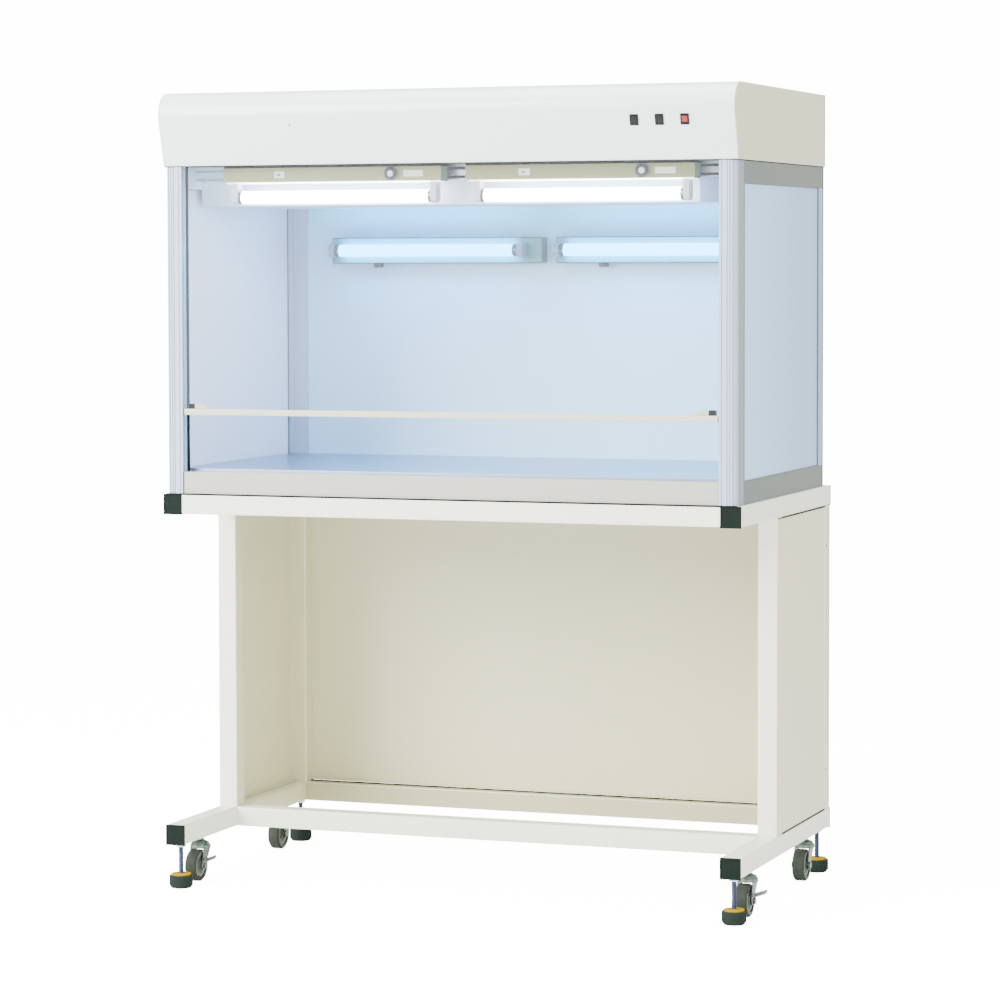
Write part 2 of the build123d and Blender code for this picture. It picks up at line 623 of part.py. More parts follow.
def work_top():
    """The stainless work top: a sheet with its edges folded down onto the rails."""
    side = GLASS_OUTER - GLASS - GASKET_SKIN - TOP_CLEAR
    inner = INNER_HALF - TOP_CLEAR
    between = CAB_HALF - REBATE_WIDTH - TOP_CLEAR
    front, rear = FRONT_RAIL_INSET + FRONT_RAIL_DEPTH - TOP_LAP, WALL_FRONT
    step, shoulder = SIDE_FRONT + TOP_CLEAR, SIDE_REAR - TOP_CLEAR
    outline = Polyline(
        (-inner, front),
        (inner, front),
        (inner, step),
        (side, step),
        (side, shoulder),
        (between, shoulder),
        (between, rear),
        (-between, rear),
        (-between, shoulder),
        (-side, shoulder),
        (-side, step),
        (-inner, step),
        close=True,
    )
    face = make_face(outline)
    inside = offset(face, -TOP_SHEET, kind=Kind.INTERSECTION)
    plate = extrude(face, TOP_RISE) - extrude(inside, TOP_RISE - TOP_SHEET)
    return Pos(0, 0, RAIL_TOP) * plate


def chamber():
    post = front_post()
    save("front_posts", mirrored(post), post)
    post = rear_post()
    save("rear_posts", mirrored(post), post)
    rail_y = (FRONT_RAIL_INSET, FRONT_RAIL_INSET + FRONT_RAIL_DEPTH)
    span = (-INNER_HALF, INNER_HALF)
    low, high = (STAND_HEIGHT, RAIL_TOP), (CHAMBER_TOP - RAIL_HEIGHT, CHAMBER_TOP)
    save("front_bottom_rail", rect_tube(span, rail_y, low, RAIL_WALL, "x"))
    side_x, side_y = (CAB_HALF - SIDE_RAIL_WIDTH, CAB_HALF), (SIDE_FRONT, SIDE_REAR)
    rails = [rect_tube(side_x, side_y, z, RAIL_WALL, "y") for z in (low, high)]
    save("side_rails", *[mirrored(rail) for rail in rails], *rails)
    rear_y = (WALL_FRONT + WALL_SHEET, CABINET_DEPTH)
    rear_span = (-REAR_HALF, REAR_HALF)
    save("rear_rails", *[rect_tube(rear_span, rear_y, z, RAIL_WALL, "x") for z in (low, high)])
    pane, gasket = side_window()
    save("side_panes", mirrored(pane), pane)
    save("pane_gaskets", mirrored(gasket), gasket)
    save("back_wall", block(rear_span, (WALL_FRONT, WALL_FRONT + WALL_SHEET), (STAND_HEIGHT, CHAMBER_TOP)))
    save("work_top", work_top())


# ---- sliding sash --------------------------------------------------------------------------------------------


def sash():
    bar_half = INNER_HALF - BAR_END_GAP
    bar_y = (SASH_FRONT, SASH_FRONT + BAR_DEPTH)
    bar_top = BAR_BOTTOM + BAR_HEIGHT
    middle = (bar_y[0] + bar_y[1]) / 2
    pane_y = (middle - SASH_GLASS / 2, middle + SASH_GLASS / 2)
    pane_half = INNER_HALF + GUIDE_DEPTH - GUIDE_PLAY
    pane = block((-pane_half, pane_half), pane_y, (bar_top - SASH_SEAT, SASH_TOP))
    bar = block((-bar_half, bar_half), bar_y, (BAR_BOTTOM, bar_top))
    bar = fillet(bar.edges().filter_by(Axis.X), 1.5) - pane
    save("sash_pane", pane)
    save("sash_bar", bar)
    shoe_y = (middle - GUIDE_WIDTH / 2 + SHOE_PLAY, middle + GUIDE_WIDTH / 2 - SHOE_PLAY)
    shoe_z = (BAR_BOTTOM + 1, bar_top - SASH_SEAT - 1)
    shoe = block((bar_half, INNER_HALF + GUIDE_DEPTH - SHOE_PLAY), shoe_y, shoe_z)
    catch_x = (bar_half - CATCH_SETBACK - CATCH_LENGTH, bar_half - CATCH_SETBACK)
    catch_y = (pane_y[1], pane_y[1] + CATCH_DEPTH)
    catch = block(catch_x, catch_y, (bar_top, bar_top + CATCH_HEIGHT))
    tip = catch.edges().filter_by(Axis.Y).group_by(Axis.Z)[-1].sort_by(Axis.X)[0]
    catch = chamfer(tip, CATCH_HEIGHT - CATCH_LIP, CATCH_LENGTH / 3)
    save("sash_catches", mirrored(shoe), shoe, mirrored(catch), catch)


# ---- head ----------------------------------------------------------------------------------------------------


def head_profile(inset):
    """The side view of the head in (y, z), moved in by a sheet's thickness: leaning front, round top, square back."""
    lean = math.radians(FASCIA_ANGLE)
    lip = (LIP_SETBACK + inset / math.cos(lean), CHAMBER_TOP)
    radius = ARC_RADIUS - inset
    centre = (ARC_Y, HEAD_TOP - ARC_RADIUS)
    start = (centre[0] - radius * math.cos(lean), centre[1] - radius * math.sin(lean))
    middle_turn = math.radians(45) - lean / 2
    middle = (centre[0] - radius * math.cos(middle_turn), centre[1] + radius * math.sin(middle_turn))
    top = (centre[0], HEAD_TOP - inset)
    return lip, start, middle, top


def head_face(inset, rear):
    """The closed outline of the head in the YZ plane."""
    lip, start, middle, top = head_profile(inset)
    edges = [Line(lip, start), ThreePointArc(start, middle, top)]
    back = [top] if rear == top[0] else [top, (rear, HEAD_TOP - inset)]
    edges.append(Polyline(*back, (rear, CHAMBER_TOP), lip))
    return make_face(edges)


def fascia():
    """The curved front sheet, with cut-outs for the three rocker switches."""
    outer = head_face(0, ARC_Y)
    inner = head_face(HEAD_SHEET, ARC_Y)
    sheet = extrude(Plane.YZ * (outer - inner), SKIN_HALF, both=True)
    for place in switch_places():
        sheet -= place * Box(*SWITCH_BODY, 8 * HEAD_SHEET)
    return sheet


def switch_places():
    """Where each rocker sits: on the fascia's flat, with local Z pointing out of it."""
    lean = math.radians(FASCIA_ANGLE)
    y = LIP_SETBACK - SWITCH_HEIGHT * math.tan(lean)
    normal = (0, -math.cos(lean), -math.sin(lean))
    for n in range(3):
        origin = (FIRST_SWITCH + n * SWITCH_PITCH, y, CHAMBER_TOP + SWITCH_HEIGHT)
        yield Plane(origin=origin, x_dir=(1, 0, 0), z_dir=normal).location


def bezel():
    """A switch housing: rim on the fascia, body behind it, and the pocket that the rocker turns in."""
    shell = Pos(0, 0, BEZEL_RIM / 2) * Box(*BEZEL, BEZEL_RIM)
    shell = fillet(shell.edges().filter_by(Axis.Z), 1)
    shell += Box(*SWITCH_BODY, SWITCH_DEPTH, align=(Align.CENTER, Align.CENTER, Align.MAX))
    pocket = (ROCKER[0] + 2 * ROCKER_SLACK, ROCKER[1] + 2 * ROCKER_END_SLACK)
    shell -= Pos(0, 0, BEZEL_RIM) * Box(*pocket, 2 * (BEZEL_RIM + SWITCH_WELL))
    reach = ROCKER[0] / 2 + TRUNNION_LENGTH + ROCKER_SLACK
    return shell - rod(TRUNNION_RADIUS + RUNNING, (-reach, 0, 0), 2 * reach, "x")


def rocker():
    """A rocker with a hollowed face, tilted as it rests, turning on the stubs at the middle of its sides."""
    half = ROCKER[1] / 2
    dip, rise, depth = 1.6, 2.6, 2.4
    outline = Polyline(
        (-half, -depth),
        (half, -depth),
        (half, rise),
        (0, dip),
        (-half, rise),
        close=True,
    )
    key = extrude(Plane.YZ * make_face(outline), ROCKER[0] / 2, both=True)
    reach = ROCKER[0] / 2 + TRUNNION_LENGTH
    key += rod(TRUNNION_RADIUS, (-reach, 0, 0), 2 * reach, "x")
    return Rot(ROCKER_TILT, 0, 0) * key


def head_wrap():
    """Both sides and the back of the head, one sheet folded round it, holed for the cord gland."""
    side = extrude(Plane.YZ * head_face(0, CABINET_DEPTH), HEAD_SHEET)
    wrap = Pos(SKIN_HALF, 0, 0) * side + Pos(-HEAD_HALF, 0, 0) * side
    back_y = (CABINET_DEPTH - HEAD_SHEET, CABINET_DEPTH)
    wrap += block((-SKIN_HALF, SKIN_HALF), back_y, (CHAMBER_TOP, HEAD_TOP))
    return wrap - rod(GLAND_RADIUS, (GLAND_X, CABINET_DEPTH - 2 * HEAD_SHEET, GLAND_Z), 3 * HEAD_SHEET, "y")


def cord_gland():
    """A supply gland clamped in the back of the head."""
    inside = CABINET_DEPTH - HEAD_SHEET
    shoulder = CABINET_DEPTH + GLAND_NUT
    gland = rod(GLAND_RADIUS, (GLAND_X, inside, GLAND_Z), HEAD_SHEET, "y")
    gland += hexagon(2.4 * GLAND_RADIUS, (GLAND_X, CABINET_DEPTH, GLAND_Z), GLAND_NUT, "y")
    gland += rod(0.9 * GLAND_RADIUS, (GLAND_X, shoulder, GLAND_Z), GLAND_BARREL, "y")
    gland += rod(1.25 * GLAND_RADIUS, (GLAND_X, inside - GLAND_LOCKRING, GLAND_Z), GLAND_LOCKRING, "y")
    bore = GLAND_LOCKRING + HEAD_SHEET + GLAND_NUT + GLAND_BARREL
    return gland - rod(GLAND_RADIUS / 2, (GLAND_X, inside - GLAND_LOCKRING, GLAND_Z), bore, "y")


def opening_in_top():
    half, rear = HEAD_HALF - GRILLE_MARGIN, CABINET_DEPTH - GRILLE_SETBACK
    return (-half, half), (rear - GRILLE_DEPTH, rear)


def top_cover():
    """The flat lid of the head, with the air intake cut in it."""
    lid = block((-SKIN_HALF, SKIN_HALF), (ARC_Y, CABINET_DEPTH - HEAD_SHEET), (HEAD_TOP - HEAD_SHEET, HEAD_TOP))
    return lid - block(*opening_in_top(), (HEAD_TOP - HEAD_SHEET, HEAD_TOP))


def intake_grille():
    """The slotted sheet under the lid's opening."""
    x, y = opening_in_top()
    z = (HEAD_TOP - HEAD_SHEET - GRILLE_SHEET, HEAD_TOP - HEAD_SHEET)
    lap = GRILLE_LAP
    sheet = block((x[0] - lap, x[1] + lap), (y[0] - lap, y[1] + lap), z)
    pitch = GRILLE_SLOT + GRILLE_BAR
    count = int((x[1] - x[0] - GRILLE_BAR) // pitch)
    for n in range(count):
        middle = (n - (count - 1) / 2) * pitch
        slot = (middle - GRILLE_SLOT / 2, middle + GRILLE_SLOT / 2)
        sheet -= block(slot, (y[0] + GRILLE_BAR, y[1] - GRILLE_BAR), z)
    return sheet


def base_plate():
    """The floor of the head, open over the filter."""
    z = (CHAMBER_TOP, BASE_TOP)
    half = HEAD_HALF - BASE_INSET
    plate = block((-half, half), (BASE_FRONT, CABINET_DEPTH - BASE_INSET), z)
    rim = FILTER_FRAME
    hole = ((FILTER_LEFT + rim, FILTER_RIGHT - rim), (FILTER_FRONT + rim, WALL_FRONT - rim))
    return plate - block(*hole, z)


def head():
    save("fascia", fascia())
    save("head_wrap", head_wrap())
    save("top_cover", top_cover())
    save("intake_grille", intake_grille())
    x, y = opening_in_top()
    mat_top = HEAD_TOP - HEAD_SHEET - GRILLE_SHEET
    save("prefilter_mat", block(x, y, (mat_top - MAT_THICK, mat_top)))
    save("head_base_plate", base_plate())
    save("switch_bezels", *[place * bezel() for place in switch_places()])
    for name, place in zip(("fan_switch", "lamp_switch", "uv_switch"), switch_places()):
        save(name, place * rocker())
    save("cord_gland", cord_gland())


# ---- filter and fan ------------------------------------------------------------------------------------------


def hepa_filter():
    """The filter: a box frame round its pleated pack."""
    x, y, z = (FILTER_LEFT, FILTER_RIGHT), (FILTER_FRONT, WALL_FRONT), (FILTER_BOTTOM, CHAMBER_TOP)
    rim = FILTER_FRAME
    inside = ((x[0] + rim, x[1] - rim), (y[0] + rim, y[1] - rim))
    frame = block(x, y, z) - block(*inside, z)
    return frame, block(*inside, (z[0] + FILTER_RECESS, z[1] - FILTER_RECESS))


def fan_housing():
    """The plenum over the filter: a box open below, with a rolled inlet in its roof."""
    rim = FILTER_FRAME - HOUSING_MARGIN
    x, y = (FILTER_LEFT + rim, FILTER_RIGHT - rim), (FILTER_FRONT + rim, WALL_FRONT - rim)
    inner = [(low + HOUSING_SHEET, high - HOUSING_SHEET) for low, high in (x, y)]
    box = block(x, y, (BASE_TOP, HOUSING_TOP)) - block(*inner, (BASE_TOP, HOUSING_TOP - HOUSING_SHEET))
    box += rod(INLET_RADIUS, (FAN_X, FAN_Y, HOUSING_TOP - INLET_LENGTH), INLET_LENGTH - HOUSING_SHEET)
    bore = INLET_RADIUS - HOUSING_SHEET
    return box - rod(bore, (FAN_X, FAN_Y, HOUSING_TOP - INLET_LENGTH), INLET_LENGTH)


def impeller():
    """A backward-curved impeller: back plate, blades, top ring and hub, bored for the motor shaft."""
    bottom = IMPELLER_TOP - IMPELLER_HEIGHT
    wheel = rod(IMPELLER_RADIUS, (0, 0, bottom), 2)
    top = rod(IMPELLER_RADIUS, (0, 0, IMPELLER_TOP - 2), 2)
    top -= rod(INLET_RADIUS + 2, (0, 0, IMPELLER_TOP - 2), 2)
    wheel += top
    wheel += rod(2.5 * SHAFT_RADIUS, (0, 0, bottom), IMPELLER_HEIGHT / 2)
    length = IMPELLER_RADIUS - BLADE_INNER
    blade = Box(length, BLADE_SHEET, IMPELLER_HEIGHT, align=(Align.MIN, Align.CENTER, Align.MIN))
    for n in range(BLADES):
        wheel += Rot(0, 0, n * 360 / BLADES) * Pos(BLADE_INNER, 0, bottom) * Rot(0, 0, BLADE_ANGLE) * blade
    wheel &= rod(IMPELLER_RADIUS, (0, 0, bottom), IMPELLER_HEIGHT)
    wheel -= rod(INLET_RADIUS + 2, (0, 0, IMPELLER_TOP - IMPELLER_LAP - 2), IMPELLER_LAP + 2)
    wheel -= rod(SHAFT_RADIUS + RUNNING, (0, 0, bottom), IMPELLER_HEIGHT)
    return Pos(FAN_X, FAN_Y, 0) * wheel


def fan_motor():
    """The motor on its bridge across the filter opening, with the shaft that the impeller turns on."""
    bridge_y = (FILTER_FRONT + FILTER_FRAME / 2 + HOUSING_SHEET + 1, WALL_FRONT - FILTER_FRAME / 2 - HOUSING_SHEET - 1)
    x = (FAN_X - BRIDGE_WIDTH / 2, FAN_X + BRIDGE_WIDTH / 2)
    motor = block(x, bridge_y, (BASE_TOP, BASE_TOP + BRIDGE_SHEET))
    motor += rod(MOTOR_RADIUS, (FAN_X, FAN_Y, BASE_TOP + BRIDGE_SHEET), MOTOR_HEIGHT)
    shaft_z = BASE_TOP + BRIDGE_SHEET + MOTOR_HEIGHT
    bottom = IMPELLER_TOP - IMPELLER_HEIGHT
    motor += rod(SHAFT_RADIUS, (FAN_X, FAN_Y, shaft_z), bottom + IMPELLER_HEIGHT / 2 - shaft_z)
    return motor + rod(2 * SHAFT_RADIUS, (FAN_X, FAN_Y, shaft_z), bottom - RACE_GAP - shaft_z)


def air_path():
    save("hepa_filter", *hepa_filter())
    y, z = (FILTER_FRONT, WALL_FRONT), (FILTER_BOTTOM, CHAMBER_TOP)
    edge = CAB_HALF - SIDE_RAIL_WIDTH
    save("ceiling_infills", block((-edge, FILTER_LEFT), y, z), block((FILTER_RIGHT, edge), y, z))
    save("fan_housing", fan_housing())
    save("fan_motor", fan_motor())
    save("fan_impeller", impeller())


# ---- lamps ---------------------------------------------------------------------------------------------------


def lamp_rail():
    """The grooved cross rail that the room lamps hang in front of."""
    edge = CAB_HALF - SIDE_RAIL_WIDTH
    y, z = (LAMP_RAIL_FRONT, LAMP_RAIL_FRONT + LAMP_RAIL), (CHAMBER_TOP - LAMP_RAIL, CHAMBER_TOP)
    rail = block((-edge, edge), y, z)
    margin = LAMP_GROOVE_EDGE
    for low in (z[0] + margin, z[1] - margin - LAMP_GROOVE - margin):
        rail -= block((-edge, edge), (y[0], y[0] + LAMP_GROOVE_DEPTH), (low, low + LAMP_GROOVE))
    return rail


def fixture_body(left):
    """A lamp's body: ribbed front, two spacers up to the head, the starter's seat and the switch's slot."""
    top = CHAMBER_TOP - FIXTURE_DROP
    bottom, front = top - FIXTURE_HEIGHT, FIXTURE_FRONT
    band = FIXTURE_HEIGHT / 4
    section = Polyline(
        (front, bottom),
        (front, bottom + band),
        (front + FIXTURE_RIB, bottom + band),
        (front + FIXTURE_RIB, top - band),
        (front, top - band),
        (front, top),
        (front + FIXTURE_DEPTH, top),
        (front + FIXTURE_DEPTH, bottom),
        close=True,
    )
    body = Pos(left, 0, 0) * extrude(Plane.YZ * make_face(section), FIXTURE_LENGTH)
    for x in (left + SPACER_SETBACK, left + FIXTURE_LENGTH - SPACER_SETBACK):
        body += rod(SPACER_RADIUS, (x, front + FIXTURE_DEPTH / 2, top), FIXTURE_DROP)
    middle = (top + bottom) / 2
    body -= rod(STARTER_RADIUS + ROCKER_SLACK, (left + STARTER_SETBACK, front, middle), FIXTURE_RIB, "y")
    slot_x = (left + KNOB_SETBACK - KNOB_PLAY, left + KNOB_SETBACK + KNOB[0] + KNOB_TRAVEL + KNOB_PLAY)
    slot_z = (middle - KNOB[1] / 2 - KNOB_PLAY, middle + KNOB[1] / 2 + KNOB_PLAY)
    return body - block(slot_x, (front, front + FIXTURE_RIB + KNOB_DEPTH + KNOB_PLAY), slot_z)


def slide_knob(left):
    middle = CHAMBER_TOP - FIXTURE_DROP - FIXTURE_HEIGHT / 2
    x = (left + KNOB_SETBACK, left + KNOB_SETBACK + KNOB[0])
    y = (FIXTURE_FRONT + FIXTURE_RIB - KNOB_REACH, FIXTURE_FRONT + FIXTURE_RIB + KNOB_DEPTH)
    return block(x, y, (middle - KNOB[1] / 2, middle + KNOB[1] / 2))


def lamp(radius):
    """A tube along X from the origin: glass with two pins at each end."""
    tube = rod(radius, (0, 0, 0), LAMP_LENGTH, "x")
    for x in (-PIN_LENGTH, LAMP_LENGTH):
        for z in (-PIN_SPREAD, PIN_SPREAD):
            tube += rod(PIN_RADIUS, (x, 0, z), PIN_LENGTH, "x")
    return tube


def holder_down():
    """A lampholder hanging from a fixture: the lamp's axis is at the origin, its inner face at x = 0."""
    block_size = (HOLDER_THICK, HOLDER_DEPTH, LAMP_DROP)
    foot = Box(*block_size, align=(Align.MAX, Align.CENTER, Align.MIN))
    return foot + rod(HOLDER_TIP, (-HOLDER_THICK, 0, 0), HOLDER_THICK, "x")


def pin_sockets(shape, facing):
    """Holes in a lampholder for the pins of a lamp whose end is at the origin."""
    for z in (-PIN_SPREAD, PIN_SPREAD):
        shape -= rod(PIN_RADIUS, (-PIN_LENGTH if facing > 0 else 0, 0, z), PIN_LENGTH, "x")
    return shape


def lamps():
    save("lamp_rail", lamp_rail())
    holders, tubes, starters = [], [], []
    fixture_top = CHAMBER_TOP - FIXTURE_DROP
    axis_z = fixture_top - FIXTURE_HEIGHT - LAMP_DROP
    axis_y = FIXTURE_FRONT + FIXTURE_DEPTH / 2
    lefts = [side * FIXTURE_PITCH / 2 - FIXTURE_LENGTH / 2 for side in SIDES.values()]
    save("fixture_bodies", *[fixture_body(left) for left in lefts])
    right_holder = pin_sockets(mirrored(holder_down()), -1)
    left_holder = pin_sockets(holder_down(), 1)
    for name, left in zip(SIDES, lefts):
        start = left + HOLDER_SETBACK + HOLDER_THICK
        holders.append(Pos(start, axis_y, axis_z) * left_holder)
        holders.append(Pos(start + LAMP_LENGTH, axis_y, axis_z) * right_holder)
        tubes.append(Pos(start, axis_y, axis_z) * lamp(LAMP_RADIUS))
        middle = fixture_top - FIXTURE_HEIGHT / 2
        seat = FIXTURE_FRONT + FIXTURE_RIB
        starters.append(rod(STARTER_RADIUS, (left + STARTER_SETBACK, seat - STARTER_LENGTH, middle), STARTER_LENGTH, "y"))
        save(f"slide_switch_{name}", slide_knob(left))
    save("room_lamps", *tubes)
    uv_front, uv_z = WALL_FRONT - UV_DEPTH, UV_BOTTOM + UV_HEIGHT / 2
    uv_axis = uv_front - UV_LAMP_FORWARD
    bodies, uv_tubes = [], []
    for n in range(2):
        left = UV_LEFT + n * UV_PITCH
        bodies.append(block((left, left + UV_LENGTH), (uv_front, WALL_FRONT), (UV_BOTTOM, UV_BOTTOM + UV_HEIGHT)))
        start = left + UV_HOLDER_SETBACK + HOLDER_THICK
        arm = Box(HOLDER_THICK, UV_LAMP_FORWARD, HOLDER_DEPTH, align=(Align.MAX, Align.MIN, Align.CENTER))
        arm += rod(HOLDER_TIP, (-HOLDER_THICK, 0, 0), HOLDER_THICK, "x")
        holders.append(Pos(start, uv_axis, uv_z) * pin_sockets(arm, 1))
        holders.append(Pos(start + LAMP_LENGTH, uv_axis, uv_z) * pin_sockets(mirrored(arm), -1))
        uv_tubes.append(Pos(start, uv_axis, uv_z) * lamp(LAMP_RADIUS))
        under = (left + UV_STARTER_SETBACK, uv_front + UV_DEPTH / 2, UV_BOTTOM - STARTER_LENGTH)
        starters.append(rod(STARTER_RADIUS, under, STARTER_LENGTH))
    save("uv_bodies", *bodies)
    save("uv_lamps", *uv_tubes)
    save("lampholders", *holders)
    save("glow_starters", *starters)


stand()
feet_and_casters()
chamber()
sash()
head()
air_path()
lamps()
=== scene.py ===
"""Clean bench: eased sheet metal, glazing, lamps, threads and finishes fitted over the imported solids."""

from __future__ import annotations

import json
import logging
import math
from collections.abc import Callable, Iterable
from dataclasses import dataclass
from enum import Enum

import bpy
from mathutils import Matrix, Vector

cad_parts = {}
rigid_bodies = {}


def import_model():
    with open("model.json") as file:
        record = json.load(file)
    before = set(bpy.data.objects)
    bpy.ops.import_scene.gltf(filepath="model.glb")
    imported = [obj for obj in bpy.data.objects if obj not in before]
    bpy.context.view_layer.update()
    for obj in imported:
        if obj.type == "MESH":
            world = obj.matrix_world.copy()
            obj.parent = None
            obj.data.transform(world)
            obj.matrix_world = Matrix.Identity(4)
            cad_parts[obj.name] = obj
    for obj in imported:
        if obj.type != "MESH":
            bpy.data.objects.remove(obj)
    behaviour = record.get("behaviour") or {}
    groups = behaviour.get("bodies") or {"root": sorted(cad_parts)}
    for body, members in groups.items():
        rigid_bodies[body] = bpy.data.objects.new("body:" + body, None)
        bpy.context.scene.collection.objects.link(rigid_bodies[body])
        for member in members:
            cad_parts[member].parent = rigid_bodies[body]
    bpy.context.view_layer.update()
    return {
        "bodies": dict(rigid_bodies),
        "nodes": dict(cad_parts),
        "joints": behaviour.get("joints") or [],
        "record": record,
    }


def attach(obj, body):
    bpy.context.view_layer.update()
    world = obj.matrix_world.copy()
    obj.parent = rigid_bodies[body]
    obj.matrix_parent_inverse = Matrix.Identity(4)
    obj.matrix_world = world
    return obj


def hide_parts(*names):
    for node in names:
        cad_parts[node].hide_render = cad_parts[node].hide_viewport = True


LOG = logging.getLogger("bench")
MIDDLE, FRONT = -11.1076, -324.6942  # the bench's centre line and tube fronts in the frame, millimetres
ACROSS, REARWARD, UP = (1, 0, 0), (0, 1, 0), (0, 0, 1)
FACE_TEST = Callable[[Vector, Vector], bool]
Spot = tuple[float, float, float]
Rings = list[tuple[float, float]]
CORNERS = {
    "front_left": (-580.0, 28.0, 122.0),
    "front_right": (580.0, 28.0, 122.0),
    "rear_left": (-580.0, 647.0, 545.0),
    "rear_right": (580.0, 647.0, 545.0),
}


class Axis(Enum):
    """The direction that a turned piece's spindle points along."""

    X = (0.0, math.pi / 2, 0.0)
    Y = (-math.pi / 2, 0.0, 0.0)
    Z = (0.0, 0.0, 0.0)


class Effect(Enum):
    """Surface effects that several finishes share as node groups."""

    DRIFT = "Tone drift"
    PEEL = "Orange peel"
    BRUSH = "Brushed lines"
    GRAIN = "Moulded grain"
    FADE = "Fade along a line"


def at(x: float, y: float, z: float) -> Vector:
    """Turns a place on the bench into the frame's metres.

    Args:
        x: Millimetres right of the centre line.
        y: Millimetres behind the tube fronts.
        z: Millimetres above the floor.

    Returns:
        The point in metres.
    """
    return Vector(((x + MIDDLE) / 1000, (y + FRONT) / 1000, z / 1000))


ORIGIN = at(0, 0, 0)  # on the floor, at the middle of the tube fronts


def linear(code: str) -> tuple[float, float, float, float]:
    """Turns a display colour into scene values.

    Args:
        code: Six hexadecimal digits.

    Returns:
        Linear red, green, blue and an alpha of one.
    """
    parts = [int(code[n : n + 2], 16) / 255 for n in (0, 2, 4)]
    r, g, b = (c / 12.92 if c <= 0.04045 else ((c + 0.055) / 1.055) ** 2.4 for c in parts)
    return (r, g, b, 1.0)


def looks_front(centre: Vector, normal: Vector) -> bool:
    """Says whether a face looks to the bench's front."""
    return normal.y < -0.9


def looks_aside(centre: Vector, normal: Vector) -> bool:
    """Says whether a face looks to either side."""
    return abs(normal.x) > 0.9


def looks_inward(centre: Vector, normal: Vector) -> bool:
    """Says whether a face looks towards the bench's centre line."""
    return normal.x * (centre.x - ORIGIN.x) < -0.1


def any_face(centre: Vector, normal: Vector) -> bool:
    """Says yes to every face."""
    return True


# ---- shaping -------------------------------------------------------------------------------------------------


def select_only(obj: bpy.types.Object) -> None:
    """Leaves one object selected and active, in object mode."""
    if bpy.context.mode != "OBJECT":
        bpy.ops.object.mode_set(mode="OBJECT")
    bpy.ops.object.select_all(action="DESELECT")
    obj.select_set(True)
    bpy.context.view_layer.objects.active = obj


def settle(obj: bpy.types.Object) -> None:
    """Moves an object's place, turn and scale into its mesh."""
    select_only(obj)
    bpy.ops.object.transform_apply(location=True, rotation=True, scale=True)


def cuboid(name: str, low: Spot, high: Spot) -> bpy.types.Object:
    """Starts a piece from a box between two places on the bench.

    Args:
        name: The piece's name.
        low: Its lowest corner, in millimetres.
        high: Its highest corner, in millimetres.

    Returns:
        The new object, with its place in its mesh.
    """
    a, b = at(*low), at(*high)
    bpy.ops.object.select_all(action="DESELECT")
    bpy.ops.mesh.primitive_cube_add(size=1, location=(a + b) / 2)
    obj = bpy.context.object
    obj.name = name
    obj.scale = b - a
    settle(obj)
    return obj


def turned(name: str, start: Spot, axis: Axis, rings: Rings, sides: int = 40) -> bpy.types.Object:
    """Builds a solid of revolution as on a lathe, ring after ring.

    Args:
        name: The piece's name.
        start: Where the spindle starts, in millimetres.
        axis: Which way the spindle points.
        rings: The radius and the distance from the start of each ring, in millimetres.
        sides: How many sides each ring has.

    Returns:
        The new object.
    """
    bpy.ops.object.select_all(action="DESELECT")
    radius, height = rings[0]
    bpy.ops.mesh.primitive_circle_add(
        vertices=sides, radius=radius / 1000, fill_type="NGON", location=(0, 0, 0)
    )
    obj = bpy.context.object
    obj.name = name
    bpy.ops.object.mode_set(mode="EDIT")
    bpy.ops.mesh.select_all(action="SELECT")
    bpy.ops.transform.translate(value=(0, 0, height / 1000))
    for next_radius, next_height in rings[1:]:
        rise = (next_height - height) / 1000
        bpy.ops.mesh.extrude_region_move(TRANSFORM_OT_translate={"value": (0, 0, rise)})
        scale = next_radius / radius
        bpy.ops.transform.resize(value=(scale, scale, 1), center_override=(0, 0, next_height / 1000))
        radius, height = next_radius, next_height
    bpy.ops.mesh.select_all(action="SELECT")
    bpy.ops.mesh.normals_make_consistent(inside=False)
    bpy.ops.object.mode_set(mode="OBJECT")
    obj.location = at(*start)
    obj.rotation_euler = axis.value
    settle(obj)
    return obj


def pick_faces(obj: bpy.types.Object, test: FACE_TEST) -> None:
    """Goes into edit mode with only the faces selected that pass a test.

    Args:
        obj: The piece.
        test: Says which faces, by centre and normal.
    """
    select_only(obj)
    bpy.ops.object.mode_set(mode="EDIT")
    bpy.ops.mesh.select_mode(type="FACE")
    bpy.ops.mesh.select_all(action="DESELECT")
    bpy.ops.object.mode_set(mode="OBJECT")
    for face in obj.data.polygons:
        face.select = test(face.center, face.normal)
    bpy.ops.object.mode_set(mode="EDIT")


def split(obj: bpy.types.Object, test: FACE_TEST, *planes: tuple[Vector, Spot]) -> None:
    """Cuts the faces that pass a test along one plane after another.

    Args:
        obj: The piece.
        test: Says which faces, by centre and normal.
        planes: A point of each plane, in metres, and the way that the plane faces.
    """
    for place, way in planes:
        pick_faces(obj, test)
        bpy.ops.mesh.bisect(plane_co=place, plane_no=way)
        bpy.ops.object.mode_set(mode="OBJECT")


def narrow(obj: bpy.types.Object, test: FACE_TEST, middle: Vector, share: Spot) -> None:
    """Scales the faces that pass a test about a point.

    Args:
        obj: The piece.
        test: Says which faces, by centre and normal.
        middle: The point that stays, in metres.
        share: What is left of their size along each axis.
    """
    pick_faces(obj, test)
    bpy.ops.transform.resize(value=share, center_override=middle)
    bpy.ops.object.mode_set(mode="OBJECT")


def half_turn(obj: bpy.types.Object) -> None:
    """Turns a piece half round about the upright line through the origin."""
    turn = Matrix.Rotation(math.pi, 4, "Z")
    obj.data.transform(Matrix.Translation(ORIGIN) @ turn @ Matrix.Translation(-ORIGIN))


